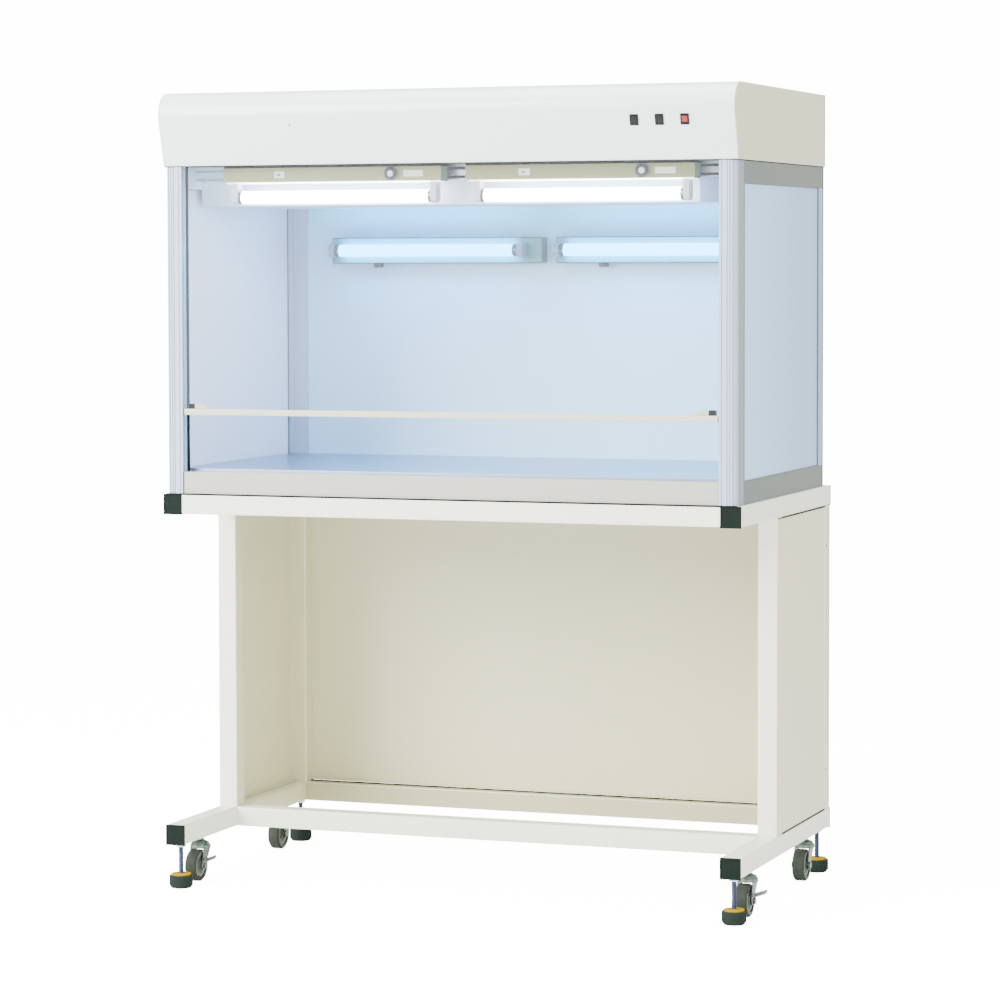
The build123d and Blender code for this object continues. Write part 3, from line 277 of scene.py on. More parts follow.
def recess(obj: bpy.types.Object, test: FACE_TEST, margin: float, depth: float, apart: bool = False) -> None:
    """Insets the faces that pass a test and pushes them in.

    Args:
        obj: The piece.
        test: Says which faces, by centre and normal.
        margin: Rim left round the recess, in millimetres.
        depth: How far the inner face moves in, in millimetres.
        apart: Whether each face gets a recess of its own.
    """
    pick_faces(obj, test)
    bpy.ops.mesh.inset(thickness=margin / 1000, depth=0, use_individual=apart)
    bpy.ops.mesh.inset(thickness=min(margin, abs(depth)) / 4000, depth=-depth / 1000, use_individual=apart)
    bpy.ops.object.mode_set(mode="OBJECT")


def ease(obj: bpy.types.Object, width: float, segments: int = 2, angle: float = 35.0) -> None:
    """Rounds the sharp edges of a piece and shades it smooth up to that angle.

    Args:
        obj: The piece.
        width: The size of the rounding in millimetres.
        segments: Steps across the rounding.
        angle: Edges sharper than this, in degrees, are rounded.
    """
    select_only(obj)
    bpy.ops.object.shade_smooth_by_angle(angle=math.radians(angle))
    if width:
        rounding = obj.modifiers.new("Eased edges", "BEVEL")
        rounding.width = width / 1000
        rounding.segments = segments
        rounding.limit_method = "ANGLE"
        rounding.angle_limit = math.radians(angle)
        rounding.harden_normals = True
        bpy.ops.object.modifier_apply(modifier=rounding.name)


def twin(obj: bpy.types.Object, name: str, shift: Spot) -> bpy.types.Object:
    """Copies a finished piece, with a mesh of its own, to another place.

    Args:
        obj: The piece to copy.
        name: The copy's name.
        shift: How far the copy lies from the first, in millimetres.

    Returns:
        The copy.
    """
    copy = bpy.data.objects.new(name, obj.data.copy())
    bpy.context.collection.objects.link(copy)
    copy.data.transform(Matrix.Translation(Vector(shift) / 1000))
    return copy


def join(name: str, pieces: list[bpy.types.Object]) -> bpy.types.Object:
    """Joins like pieces into one object.

    Args:
        name: The joined piece's name.
        pieces: The pieces, of which the first takes in the others.

    Returns:
        The joined piece.
    """
    select_only(pieces[0])
    for piece in pieces[1:]:
        piece.select_set(True)
    bpy.ops.object.join()
    obj = bpy.context.object
    obj.name = name
    return obj


def retrace(frame: dict, node: str, name: str, width: float = 0.0, angle: float = 35.0) -> bpy.types.Object:
    """Rebuilds a solid as a clean mesh with eased edges.

    Args:
        node: The solid's node.
        name: The new piece's name.
        width: The size of the rounding in millimetres.
        angle: Edges sharper than this, in degrees, are rounded.

    Returns:
        The new piece.
    """
    obj = bpy.data.objects.new(name, frame["nodes"][node].data.copy())
    bpy.context.collection.objects.link(obj)
    obj.data.materials.clear()
    select_only(obj)
    if obj.data.has_custom_normals:
        bpy.ops.mesh.customdata_custom_splitnormals_clear()
    bpy.ops.object.mode_set(mode="EDIT")
    bpy.ops.mesh.select_all(action="SELECT")
    bpy.ops.mesh.remove_doubles(threshold=0.000005)
    bpy.ops.mesh.dissolve_limited(angle_limit=math.radians(0.5))
    bpy.ops.object.mode_set(mode="OBJECT")
    ease(obj, width, angle=angle)
    return obj


# ---- finishes ------------------------------------------------------------------------------------------------


def add(tree: bpy.types.NodeTree, kind: str, **options: object) -> bpy.types.Node:
    """Adds a shader node.

    Args:
        tree: The nodes of a group, a material or the world.
        kind: The node's type, without the ShaderNode that all of them start with.
        options: The node's own settings.

    Returns:
        The new node.
    """
    node = tree.nodes.new(f"ShaderNode{kind}")
    for option, value in options.items():
        setattr(node, option, value)
    return node


def wire(tree: bpy.types.NodeTree, *pairs: tuple[bpy.types.NodeSocket, bpy.types.NodeSocket]) -> None:
    """Links sockets, each pair from what gives to what takes."""
    for give, take in pairs:
        tree.links.new(give, take)


def socketed_group(effect: Effect, inputs: dict[str, str], outputs: dict[str, str]) -> bpy.types.NodeTree:
    """Starts a shader node group with named sockets.

    Args:
        effect: Which effect the group is for.
        inputs: Socket names and their types, Float, Color or Vector.
        outputs: The same for what it gives back.

    Returns:
        The group, with its two end nodes in place.
    """
    tree = bpy.data.node_groups.new(effect.value, "ShaderNodeTree")
    for way, sockets in (("INPUT", inputs), ("OUTPUT", outputs)):
        for name, kind in sockets.items():
            tree.interface.new_socket(name=name, in_out=way, socket_type=f"NodeSocket{kind}")
    tree.nodes.new("NodeGroupInput")
    tree.nodes.new("NodeGroupOutput")
    return tree


class EffectShelf:
    """Builds each shared node group the first time that it is asked for."""

    def __init__(self) -> None:
        """Starts with an empty shelf."""
        self._made: dict[Effect, bpy.types.NodeTree] = {}

    def get(self, effect: Effect) -> bpy.types.NodeTree:
        """Returns the node group of an effect."""
        if effect not in self._made:
            self._made[effect] = getattr(self, f"_{effect.name.lower()}")()
        return self._made[effect]

    @staticmethod
    def _ends(tree: bpy.types.NodeTree) -> tuple[bpy.types.bpy_prop_collection, bpy.types.bpy_prop_collection]:
        """Returns the sockets that a group is given and those that it gives back."""
        return tree.nodes["Group Input"].outputs, tree.nodes["Group Output"].inputs

    @staticmethod
    def _noise(tree: bpy.types.NodeTree, detail: float) -> bpy.types.Node:
        """Adds a noise texture that reads object coordinates."""
        place = add(tree, "TexCoord")
        noise = add(tree, "TexNoise")
        noise.inputs["Detail"].default_value = detail
        wire(tree, (place.outputs["Object"], noise.inputs["Vector"]))
        return noise

    @staticmethod
    def _swing(
        tree: bpy.types.NodeTree,
        source: bpy.types.NodeSocket,
        amount: bpy.types.NodeSocket,
        middle: float | bpy.types.NodeSocket,
    ) -> bpy.types.NodeSocket:
        """Adds nodes for middle plus amount times what a noise differs from a half.

        Args:
            tree: The group's nodes.
            source: The noise.
            amount: How far it swings the value.
            middle: The value that it swings about.

        Returns:
            The socket that gives the value.
        """
        centred = add(tree, "Math", operation="SUBTRACT")
        centred.inputs[1].default_value = 0.5
        wire(tree, (source, centred.inputs[0]))
        scaled = add(tree, "Math", operation="MULTIPLY_ADD")
        wire(tree, (centred.outputs[0], scaled.inputs[0]), (amount, scaled.inputs[1]))
        if isinstance(middle, float):
            scaled.inputs[2].default_value = middle
        else:
            wire(tree, (middle, scaled.inputs[2]))
        return scaled.outputs[0]

    @staticmethod
    def _tone(
        tree: bpy.types.NodeTree,
        colour: bpy.types.NodeSocket,
        value: bpy.types.NodeSocket,
        take: bpy.types.NodeSocket,
    ) -> None:
        """Adds a node that changes a colour's brightness and passes it on.

        Args:
            tree: The group's nodes.
            colour: What gives the colour.
            value: What gives its brightness.
            take: What takes the changed colour.
        """
        tone = add(tree, "HueSaturation")
        wire(tree, (colour, tone.inputs["Color"]), (value, tone.inputs["Value"]), (tone.outputs["Color"], take))

    @staticmethod
    def _blend(tree: bpy.types.NodeTree, share: bpy.types.NodeSocket, *ends: bpy.types.NodeSocket) -> None:
        """Adds a node that mixes two colours.

        Args:
            tree: The group's nodes.
            share: What gives the second colour's share.
            ends: What gives the first colour, what gives the second and what takes the mix.
        """
        blend = add(tree, "Mix", data_type="RGBA")
        wire(tree, (share, blend.inputs["Factor"]), (ends[0], blend.inputs[6]), (ends[1], blend.inputs[7]))
        wire(tree, (blend.outputs[2], ends[2]))

    def _drift(self) -> bpy.types.NodeTree:
        """A slow change of brightness over a painted surface."""
        inputs = {"Colour": "Color", "Size": "Float", "Amount": "Float"}
        tree = socketed_group(Effect.DRIFT, inputs, {"Colour": "Color"})
        give, take = self._ends(tree)
        noise = self._noise(tree, 3)
        wire(tree, (give["Size"], noise.inputs["Scale"]))
        value = self._swing(tree, noise.outputs["Fac"], give["Amount"], 1.0)
        self._tone(tree, give["Colour"], value, take["Colour"])
        return tree

    def _peel(self) -> bpy.types.NodeTree:
        """The fine unevenness of stoved enamel: a height and a roughness that follow each other."""
        inputs = {"Size": "Float", "Roughness": "Float", "Amount": "Float"}
        tree = socketed_group(Effect.PEEL, inputs, {"Roughness": "Float", "Height": "Float"})
        give, take = self._ends(tree)
        noise = self._noise(tree, 2)
        wire(tree, (give["Size"], noise.inputs["Scale"]), (noise.outputs["Fac"], take["Height"]))
        rough = self._swing(tree, noise.outputs["Fac"], give["Amount"], give["Roughness"])
        wire(tree, (rough, take["Roughness"]))
        return tree

    def _brush(self) -> bpy.types.NodeTree:
        """Long fine scratches: colour, roughness and height stretched along one direction."""
        inputs = {"Colour": "Color", "Stretch": "Vector", "Roughness": "Float", "Amount": "Float"}
        outputs = {"Colour": "Color", "Roughness": "Float", "Height": "Float"}
        tree = socketed_group(Effect.BRUSH, inputs, outputs)
        give, take = self._ends(tree)
        noise = self._noise(tree, 4)
        noise.inputs["Scale"].default_value = 1.0
        place = next(node for node in tree.nodes if node.type == "TEX_COORD")
        stretch = add(tree, "VectorMath", operation="MULTIPLY")
        wire(tree, (place.outputs["Object"], stretch.inputs[0]), (give["Stretch"], stretch.inputs[1]))
        wire(tree, (stretch.outputs[0], noise.inputs["Vector"]))
        rough = self._swing(tree, noise.outputs["Fac"], give["Amount"], give["Roughness"])
        value = self._swing(tree, noise.outputs["Fac"], give["Amount"], 1.0)
        self._tone(tree, give["Colour"], value, take["Colour"])
        wire(tree, (rough, take["Roughness"]), (noise.outputs["Fac"], take["Height"]))
        return tree

    def _grain(self) -> bpy.types.NodeTree:
        """The pebbled texture of moulded plastic and rubber, with a paler bloom on its high spots."""
        inputs = {"Colour": "Color", "Bloom": "Color", "Size": "Float", "Amount": "Float"}
        tree = socketed_group(Effect.GRAIN, inputs, {"Colour": "Color", "Height": "Float"})
        give, take = self._ends(tree)
        place = add(tree, "TexCoord")
        cells = add(tree, "TexVoronoi")
        wire(tree, (place.outputs["Object"], cells.inputs["Vector"]), (give["Size"], cells.inputs["Scale"]))
        wire(tree, (cells.outputs["Distance"], take["Height"]))
        cloud = self._noise(tree, 3)
        cloud.inputs["Scale"].default_value = 60.0
        share = add(tree, "Math", operation="MULTIPLY")
        wire(tree, (cloud.outputs["Fac"], share.inputs[0]), (give["Amount"], share.inputs[1]))
        self._blend(tree, share.outputs[0], give["Colour"], give["Bloom"], take["Colour"])
        return tree

    def _fade(self) -> bpy.types.NodeTree:
        """Two tones that pass into each other along a direction, from one distance to another."""
        inputs = {"Lower": "Color", "Upper": "Color", "Along": "Vector", "From": "Float", "To": "Float"}
        tree = socketed_group(Effect.FADE, inputs, {"Colour": "Color"})
        give, take = self._ends(tree)
        place = add(tree, "TexCoord")
        reach = add(tree, "VectorMath", operation="DOT_PRODUCT")
        wire(tree, (place.outputs["Object"], reach.inputs[0]), (give["Along"], reach.inputs[1]))
        share = add(tree, "MapRange", interpolation_type="SMOOTHSTEP")
        wire(tree, (reach.outputs["Value"], share.inputs["Value"]))
        wire(tree, (give["From"], share.inputs["From Min"]), (give["To"], share.inputs["From Max"]))
        self._blend(tree, share.outputs["Result"], give["Lower"], give["Upper"], take["Colour"])
        return tree


SHELF = EffectShelf()


def look_split(tree: bpy.types.NodeTree, strength: bpy.types.NodeSocket, lit: float, seen: float) -> None:
    """Gives a light one strength where it falls on the bench and another where it is looked at.

    Args:
        tree: The nodes of a material or the world.
        strength: The socket to set.
        lit: Its value for light that falls on the bench.
        seen: Its value where it is seen.
    """
    path = add(tree, "LightPath")
    share = add(tree, "MapRange")
    share.inputs["To Min"].default_value = lit
    share.inputs["To Max"].default_value = seen
    wire(tree, (path.outputs["Is Camera Ray"], share.inputs["Value"]), (share.outputs["Result"], strength))


@dataclass(frozen=True)
class Finish:
    """What every finish shares: a name and a display colour."""

    name: str
    colour: str

    def make(self) -> bpy.types.Material:
        """Returns the finish's material, built on first use."""
        found = bpy.data.materials.get(self.name)
        if found:
            return found
        material = bpy.data.materials.new(self.name)
        material.use_nodes = True
        surface = material.node_tree.nodes["Principled BSDF"]
        surface.inputs["Base Color"].default_value = linear(self.colour)
        self.dress(material.node_tree, surface)
        return material

    def dress(self, tree: bpy.types.NodeTree, surface: bpy.types.Node) -> None:
        """Adds the finish's own nodes."""

    @staticmethod
    def effect(tree: bpy.types.NodeTree, effect: Effect, values: dict[str, object]) -> bpy.types.Node:
        """Places a shared effect in a material with its own values."""
        node = add(tree, "Group", node_tree=SHELF.get(effect))
        for name, value in values.items():
            node.inputs[name].default_value = value
        return node

    def two_tones(
        self, tree: bpy.types.NodeTree, drift: bpy.types.Node, other: str, along: Spot, span: tuple[float, float]
    ) -> None:
        """Lets the colour pass into another along a direction, ahead of the drift.

        Args:
            tree: The material's nodes.
            drift: The node that takes the colour.
            other: The colour that it passes into.
            along: The direction.
            span: Where the change starts and ends along it, in metres.
        """
        tones = {"Lower": linear(self.colour), "Upper": linear(other), "Along": along, "From": span[0], "To": span[1]}
        fade = self.effect(tree, Effect.FADE, tones)
        wire(tree, (fade.outputs["Colour"], drift.inputs["Colour"]))

    @staticmethod
    def bump(
        tree: bpy.types.NodeTree,
        surface: bpy.types.Node,
        height: bpy.types.NodeSocket,
        strength: float,
        depth: float,
    ) -> None:
        """Feeds a height to the surface's normal.

        Args:
            tree: The material's nodes.
            surface: Its shader.
            height: The height's socket.
            strength: How strongly the bump shows.
            depth: The height of a full step, in millimetres.
        """
        node = add(tree, "Bump")
        node.inputs["Strength"].default_value = strength
        node.inputs["Distance"].default_value = depth / 1000
        wire(tree, (height, node.inputs["Height"]), (node.outputs["Normal"], surface.inputs["Normal"]))


@dataclass(frozen=True)
class Enamel(Finish):
    """Stoved enamel or powder coat on sheet metal."""

    roughness: float = 0.38
    coat: float = 0.25
    drift: float = 0.05
    peel: float = 0.12
    # upper: a painted glow of lamps that the colour passes into higher up, over span
    upper: str = ""
    span: tuple[float, float] = (0.85, 1.45)

    def dress(self, tree: bpy.types.NodeTree, surface: bpy.types.Node) -> None:
        """Adds the tone drift and the orange peel, and the painted glow higher up where there is one."""
        drift = self.effect(tree, Effect.DRIFT, {"Colour": linear(self.colour), "Size": 2.2, "Amount": self.drift})
        if self.upper:
            self.two_tones(tree, drift, self.upper, UP, self.span)
        wire(tree, (drift.outputs["Colour"], surface.inputs["Base Color"]))
        peel = self.effect(tree, Effect.PEEL, {"Size": 420.0, "Roughness": self.roughness, "Amount": 0.12})
        wire(tree, (peel.outputs["Roughness"], surface.inputs["Roughness"]))
        surface.inputs["Coat Weight"].default_value = self.coat
        surface.inputs["Coat Roughness"].default_value = 0.12
        self.bump(tree, surface, peel.outputs["Height"], self.peel, 0.12)


@dataclass(frozen=True)
class BrushedMetal(Finish):
    """Bare, plated or anodised metal with fine lines along one direction."""

    stretch: tuple[float, float, float] = (2.0, 900.0, 900.0)
    roughness: float = 0.3
    amount: float = 0.25

    def dress(self, tree: bpy.types.NodeTree, surface: bpy.types.Node) -> None:
        """Adds the lines to colour, roughness and height."""
        values = {"Colour": linear(self.colour), "Stretch": self.stretch}
        values |= {"Roughness": self.roughness, "Amount": self.amount}
        lines = self.effect(tree, Effect.BRUSH, values)
        wire(tree, (lines.outputs["Colour"], surface.inputs["Base Color"]))
        wire(tree, (lines.outputs["Roughness"], surface.inputs["Roughness"]))
        surface.inputs["Metallic"].default_value = 1.0
        self.bump(tree, surface, lines.outputs["Height"], 0.15, 0.05)


@dataclass(frozen=True)
class Moulded(Finish):
    """Moulded plastic or rubber with a fine pebble grain."""

    bloom: str = "8A8C88"
    roughness: float = 0.5
    size: float = 1400.0
    amount: float = 0.1
    strength: float = 0.25
    gloss: float = 0.25

    def dress(self, tree: bpy.types.NodeTree, surface: bpy.types.Node) -> None:
        """Adds the grain and its bloom."""
        values = {"Colour": linear(self.colour), "Bloom": linear(self.bloom)}
        values |= {"Size": self.size, "Amount": self.amount}
        grain = self.effect(tree, Effect.GRAIN, values)
        wire(tree, (grain.outputs["Colour"], surface.inputs["Base Color"]))
        surface.inputs["Roughness"].default_value = self.roughness
        surface.inputs["Specular IOR Level"].default_value = self.gloss
        self.bump(tree, surface, grain.outputs["Height"], self.strength, 0.08)


@dataclass(frozen=True)
class Pane(Finish):
    """Clear glazing with a little tint and a faint uneven film."""

    alpha: float = 0.2
    roughness: float = 0.03
    coat: float = 0.5
    # rear: a darker tone towards the rear, painted shade
    rear: str = ""
    span: tuple[float, float] = (-0.28, 0.28)

    def dress(self, tree: bpy.types.NodeTree, surface: bpy.types.Node) -> None:
        """Adds the tint, which may pass into a painted shade towards the rear, and the film's slight drift."""
        drift = self.effect(tree, Effect.DRIFT, {"Colour": linear(self.colour), "Size": 3.0, "Amount": 0.04})
        wire(tree, (drift.outputs["Colour"], surface.inputs["Base Color"]))
        if self.rear:
            self.two_tones(tree, drift, self.rear, REARWARD, self.span)
        surface.inputs["Roughness"].default_value = self.roughness
        surface.inputs["Alpha"].default_value = self.alpha
        surface.inputs["IOR"].default_value = 1.45
        surface.inputs["Coat Weight"].default_value = self.coat
        surface.inputs["Coat Roughness"].default_value = 0.02


@dataclass(frozen=True)
class Lit(Finish):
    """A lit lamp or lens, or a plate with a painted glow: a pale body that gives off light of its own."""

    glow: float = 3.0
    seen: float = 0.0
    roughness: float = 0.15

    def dress(self, tree: bpy.types.NodeTree, surface: bpy.types.Node) -> None:
        """Adds the light, with a slight drift along the lamp; where it is looked at it may be dimmer."""
        drift = self.effect(tree, Effect.DRIFT, {"Colour": linear(self.colour), "Size": 9.0, "Amount": 0.08})
        wire(tree, (drift.outputs["Colour"], surface.inputs["Base Color"]))
        wire(tree, (drift.outputs["Colour"], surface.inputs["Emission Color"]))
        surface.inputs["Emission Strength"].default_value = self.glow
        surface.inputs["Roughness"].default_value = self.roughness
        if self.seen:
            look_split(tree, surface.inputs["Emission Strength"], self.glow, self.seen)


IVORY = Enamel("Ivory enamel", "F2F2E2")
# The panels' enamel, darkened as painted shade inside the stand; it also paints shade on the tube faces beside the
# panels.
PANEL_IVORY_AND_SHADE = Enamel("Panel enamel and painted shade", "DEDAB2", roughness=0.45)
HEAD_WHITE = Enamel("Head enamel", "E9F1EF", roughness=0.3, coat=0.4)
# The head's side sheet, darker and warmer than the fascia as painted shade.
HEAD_SIDE_AND_SHADE = Enamel("Head side enamel and painted shade", "D5D3AC", roughness=0.36, coat=0.3)
POST_WHITE = Enamel("Post powder coat", "B0BACD", roughness=0.42)
POST_SIDE = Enamel("Post side film", "8FA3BC", roughness=0.4)
SILL_WHITE = Enamel("Front rail enamel", "B0AEA4", roughness=0.4)
RAIL_GREY = Enamel("Side rail enamel", "48554A", roughness=0.4)
# The wall's pale blue passes higher up into a painted cyan glow of the ultraviolet lamps.
WALL_BLUE_AND_PAINTED_GLOW = Enamel("Wall enamel and painted glow", "C0E8FF", roughness=0.5, upper="86F2FF", span=(1.30, 1.36))
# A pale blue: painted light from the chamber on the side rails' inner faces, a plain pale tone on the wall's rear and
# at the left of the ceiling.
SIDE_BLUE_AND_CHAMBER_LIGHT = Enamel("Inner side enamel and painted chamber light", "D4E6FA", roughness=0.5, coat=0.0)
# A darker tone on the front posts' outer sides, painted shade.
POST_OUTER_SHADE = Enamel("Post outer painted shade", "7E8689", roughness=0.5)
# A cyan tone on the front posts' inner sides, a painted reflection of the lit chamber.
POST_PAINTED_REFLECTION = Enamel("Post inner painted reflection", "86BCE6", roughness=0.4)
# A darker cream on the rear crossbar's top and front, painted shade.
BAR_PAINTED_SHADE = Enamel("Rear crossbar painted shade", "C3C095", roughness=0.45)
CREAM = Enamel("Cream enamel", "C9C9AE", roughness=0.4)
FIXTURE_CREAM = Enamel("Fixture enamel", "898A56", roughness=0.4)
FILTER_WHITE = Enamel("Filter frame coat", "C8D8E2", roughness=0.5)
# The grey-blue of the ceiling infills is painted shade under the head.
INFILL_PAINTED_SHADE = Enamel("Infill painted shade", "7C98BC", roughness=0.5, coat=0.0)
UV_WHITE = Enamel("Ultraviolet body enamel", "4C9490", roughness=0.4)
MOTOR_GREY = Enamel("Motor paint", "55585B", roughness=0.5)
ZINC = BrushedMetal("Zinc plate", "6A7870", stretch=(120.0, 120.0, 120.0), roughness=0.24)
NUT_ZINC = BrushedMetal("Bright zinc nut", "D4E2E4", stretch=(160.0, 160.0, 160.0), roughness=0.25)
LEVER_ZINC = BrushedMetal("Lever zinc", "C8C8D0", stretch=(120.0, 120.0, 120.0), roughness=0.4)
STUD_BLUE = BrushedMetal("Blue zinc stud", "48556C", stretch=(200.0, 200.0, 60.0), roughness=0.35)
GALVANISED = BrushedMetal("Galvanised sheet", "A0A4A6", stretch=(60.0, 60.0, 60.0), roughness=0.45)
# Brushed stainless whose blue tint is a painted reflection of the lit chamber.
STAINLESS_AND_BLUE_REFLECTION = BrushedMetal("Brushed stainless with painted blue reflection", "A2B2C6", stretch=(3.0, 900.0, 900.0), roughness=0.34)
ANODISED = BrushedMetal("Anodised rail", "AEB6C0", stretch=(2.0, 700.0, 700.0), roughness=0.32)
BLADE = BrushedMetal("Impeller sheet", "B0B4B8", stretch=(300.0, 300.0, 20.0), roughness=0.35)
CAP_BLACK = Moulded("Cap plastic", "121A16", bloom="1A241F", roughness=0.55, amount=0.5, gloss=0.06)
FOOT_BLACK = Moulded("Foot rubber", "1A251F", bloom="29342D", roughness=0.7, amount=0.6, gloss=0.12)
DISC_YELLOW = Moulded("Yellow moulding", "A68600", bloom="AC8A00", roughness=0.6, amount=0.4, gloss=0.0)
TYRE_GREY = Moulded("Tyre rubber", "2B3129", bloom="40453C", roughness=0.7, amount=0.6, gloss=0.15)
HUB_GREY = Moulded("Wheel hub plastic", "50574E", bloom="6A7068", roughness=0.5, amount=0.5)
# A pale ring on the hub's rim, a painted highlight.
HUB_RIM_HIGHLIGHT = Moulded("Wheel hub rim painted highlight", "9AA496", bloom="B4BCB0", roughness=0.45, amount=0.4)
SEAL_BLACK = Moulded("Black seal", "0C0D0F", bloom="17181B", roughness=0.6, amount=0.4, gloss=0.1)
# Dark joints, and painted shade at the back of the lamp rail's groove.
SEAM_AND_GROOVE_SHADE = Moulded("Dark seam and groove shade", "2A2C2A", bloom="3A3C3A", roughness=0.9, amount=0.5, gloss=0.05)
ROCKER_GREEN = Moulded("Rocker plastic", "121B18", bloom="17211D", roughness=0.35, amount=0.3, strength=0.05)
SWITCH_BLACK = Moulded("Switch plastic", "0B0C0D", bloom="161719", roughness=0.3, amount=0.4, strength=0.08)
KNOB_DARK = Moulded("Slider plastic", "181A18", bloom="242624", roughness=0.45, amount=0.3)
HOLDER_WHITE = Moulded("Lampholder plastic", "BFC2CE", bloom="CCCED8", roughness=0.35, amount=0.4, strength=0.1)
CLIP_GREY = Moulded("Lamp clip plastic", "8E99A6", bloom="B4BECA", roughness=0.35, amount=0.5)
END_GREY = Moulded("Grey end plastic", "66736C", bloom="7C8A84", roughness=0.45, amount=0.4)
STARTER_GREY = Moulded("Starter can", "3E4656", bloom="5A6474", roughness=0.25, amount=0.6, strength=0.08)
MAT_WHITE = Moulded("Filter mat", "D4D8DA", bloom="E4E8EA", roughness=0.9, size=500.0, amount=0.7, strength=0.9)
PLEAT_WHITE = Moulded("Pleated paper", "C8D8E8", bloom="DCE8F2", roughness=0.8, size=900.0, amount=0.5)
LABEL_WHITE = Moulded("Blank plate", "E0DEDA", bloom="F0EFEA", roughness=0.5, amount=0.3, strength=0.05)
SASH_GLASS = Pane("Sash glazing", "EAF4F6", alpha=0.03)
# The side glazing darkens towards the rear as painted shade.
SIDE_GLASS_AND_REAR_SHADE = Pane("Side glazing", "AADAFF", alpha=0.96, roughness=0.25, coat=0.1, rear="94BCE6")
# The panes' inner faces are brighter as painted light from the chamber.
INNER_GLASS_PAINTED_LIGHT = Pane("Side glazing inside, painted light", "F2F4FF", alpha=0.97, roughness=0.6, coat=0.0)
# The reflector plate is no lamp; its glow is painted light.
REFLECTOR_PAINTED_GLOW = Lit("Reflector painted glow", "FFFFFF", glow=2.5)
ROOM_LIGHT = Lit("Lit phosphor", "FFFFFF", glow=22.0)
UV_LIGHT = Lit("Lit clear tube", "52B6FF", glow=46.0, seen=12.0)
RED_LENS = Lit("Red lens", "9A1004", glow=0.08)


def dress(obj: bpy.types.Object, finish: Finish) -> bpy.types.Object:
    """Gives an object one finish all over."""
    obj.data.materials.clear()
    obj.data.materials.append(finish.make())
    return obj


@dataclass
class Assembly:
    """A part of the bench that is fitted as one: it holds the frame and lists what it has fitted."""

    frame: dict
    name: str = "assembly"

    def fit(
        self, obj: bpy.types.Object, finish: Finish | None, body: str, slot: str, *nodes: str
    ) -> bpy.types.Object:
        """Dresses a piece, fixes it to a body and hides what it stands for.

        Args:
            obj: The piece.
            finish: Its finish, or None where it already has its materials.
            body: The body that it rides on.
            slot: The record's material slot that it belongs to; not used.
            nodes: The solids that it stands for.

        Returns:
            The piece.
        """
        if finish:
            dress(obj, finish)
        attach(obj, body)
        if nodes:
            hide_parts(*nodes)
        LOG.info("%s: %s, %d faces, on %s", self.name, obj.name, len(obj.data.polygons), body)
        return obj

    def slot_of(self, node: str) -> str:
        """Returns the material slot that the record gives a solid."""
        return next(entry["material_slot"] for entry in self.frame["record"]["subparts"] if entry["node"] == node)

    def trace(
        self, node: str, finish: Finish, width: float, body: str = "cabinet", angle: float = 35.0
    ) -> bpy.types.Object:
        """Fits an eased copy of a solid in its place.

        Args:
            node: The solid's node.
            finish: The copy's finish.
            width: The rounding of its edges in millimetres.
            body: The body that it rides on.
            angle: Edges sharper than this are rounded.

        Returns:
            The piece.
        """
        obj = retrace(self.frame, node, f"{node}_eased", width, angle)
        return self.fit(obj, finish, body, self.slot_of(node), node)

    @staticmethod
    def second_tone(obj: bpy.types.Object, finish: Finish, test: FACE_TEST) -> None:
        """Gives some faces a finish of their own.

        Args:
            obj: The piece.
            finish: Those faces' finish.
            test: Says which faces, by centre and normal.
        """
        obj.data.materials.append(finish.make())
        for face in obj.data.polygons:
            if test(face.center, face.normal):
                face.material_index = len(obj.data.materials) - 1

    def paint(self, node: str, finish: Finish) -> None:
        """Gives a solid that stays in view its finish."""
        dress(self.frame["nodes"][node], finish)
        LOG.info("%s: %s painted", self.name, node)


@dataclass
class Screw:
    """A small pan-head screw with a cross recess."""

    radius: float = 3.2
    height: float = 1.8

    def build(self, name: str, place: Spot, axis: Axis) -> bpy.types.Object:
        """Turns the head and sinks the cross in it.

        Args:
            name: The piece's name.
            place: The middle of its seat, in millimetres.
            axis: Which way its head points.

        Returns:
            The screw.
        """
        r, h = self.radius, self.height
        rings = [(r, 0), (r, h * 0.35), (r * 0.9, h * 0.7), (r * 0.65, h), (r * 0.22, h)]
        obj = turned(name, (0, 0, 0), Axis.Z, rings, 16)
        obj.data.transform(Matrix.Translation(-ORIGIN))

        def crown(centre: Vector, normal: Vector) -> bool:
            """Says whether a face is the small round at the top."""
            return normal.z > 0.9 and centre.z > h / 1000 * 0.99 and centre.xy.length < r * 0.1 / 1000

        recess(obj, crown, 0.05, h * 0.5)
        turn = Matrix.Rotation(axis.value[1], 4, "Y") @ Matrix.Rotation(axis.value[0], 4, "X")
        obj.data.transform(Matrix.Translation(at(*place)) @ turn)
        ease(obj, 0, angle=40)
        return obj


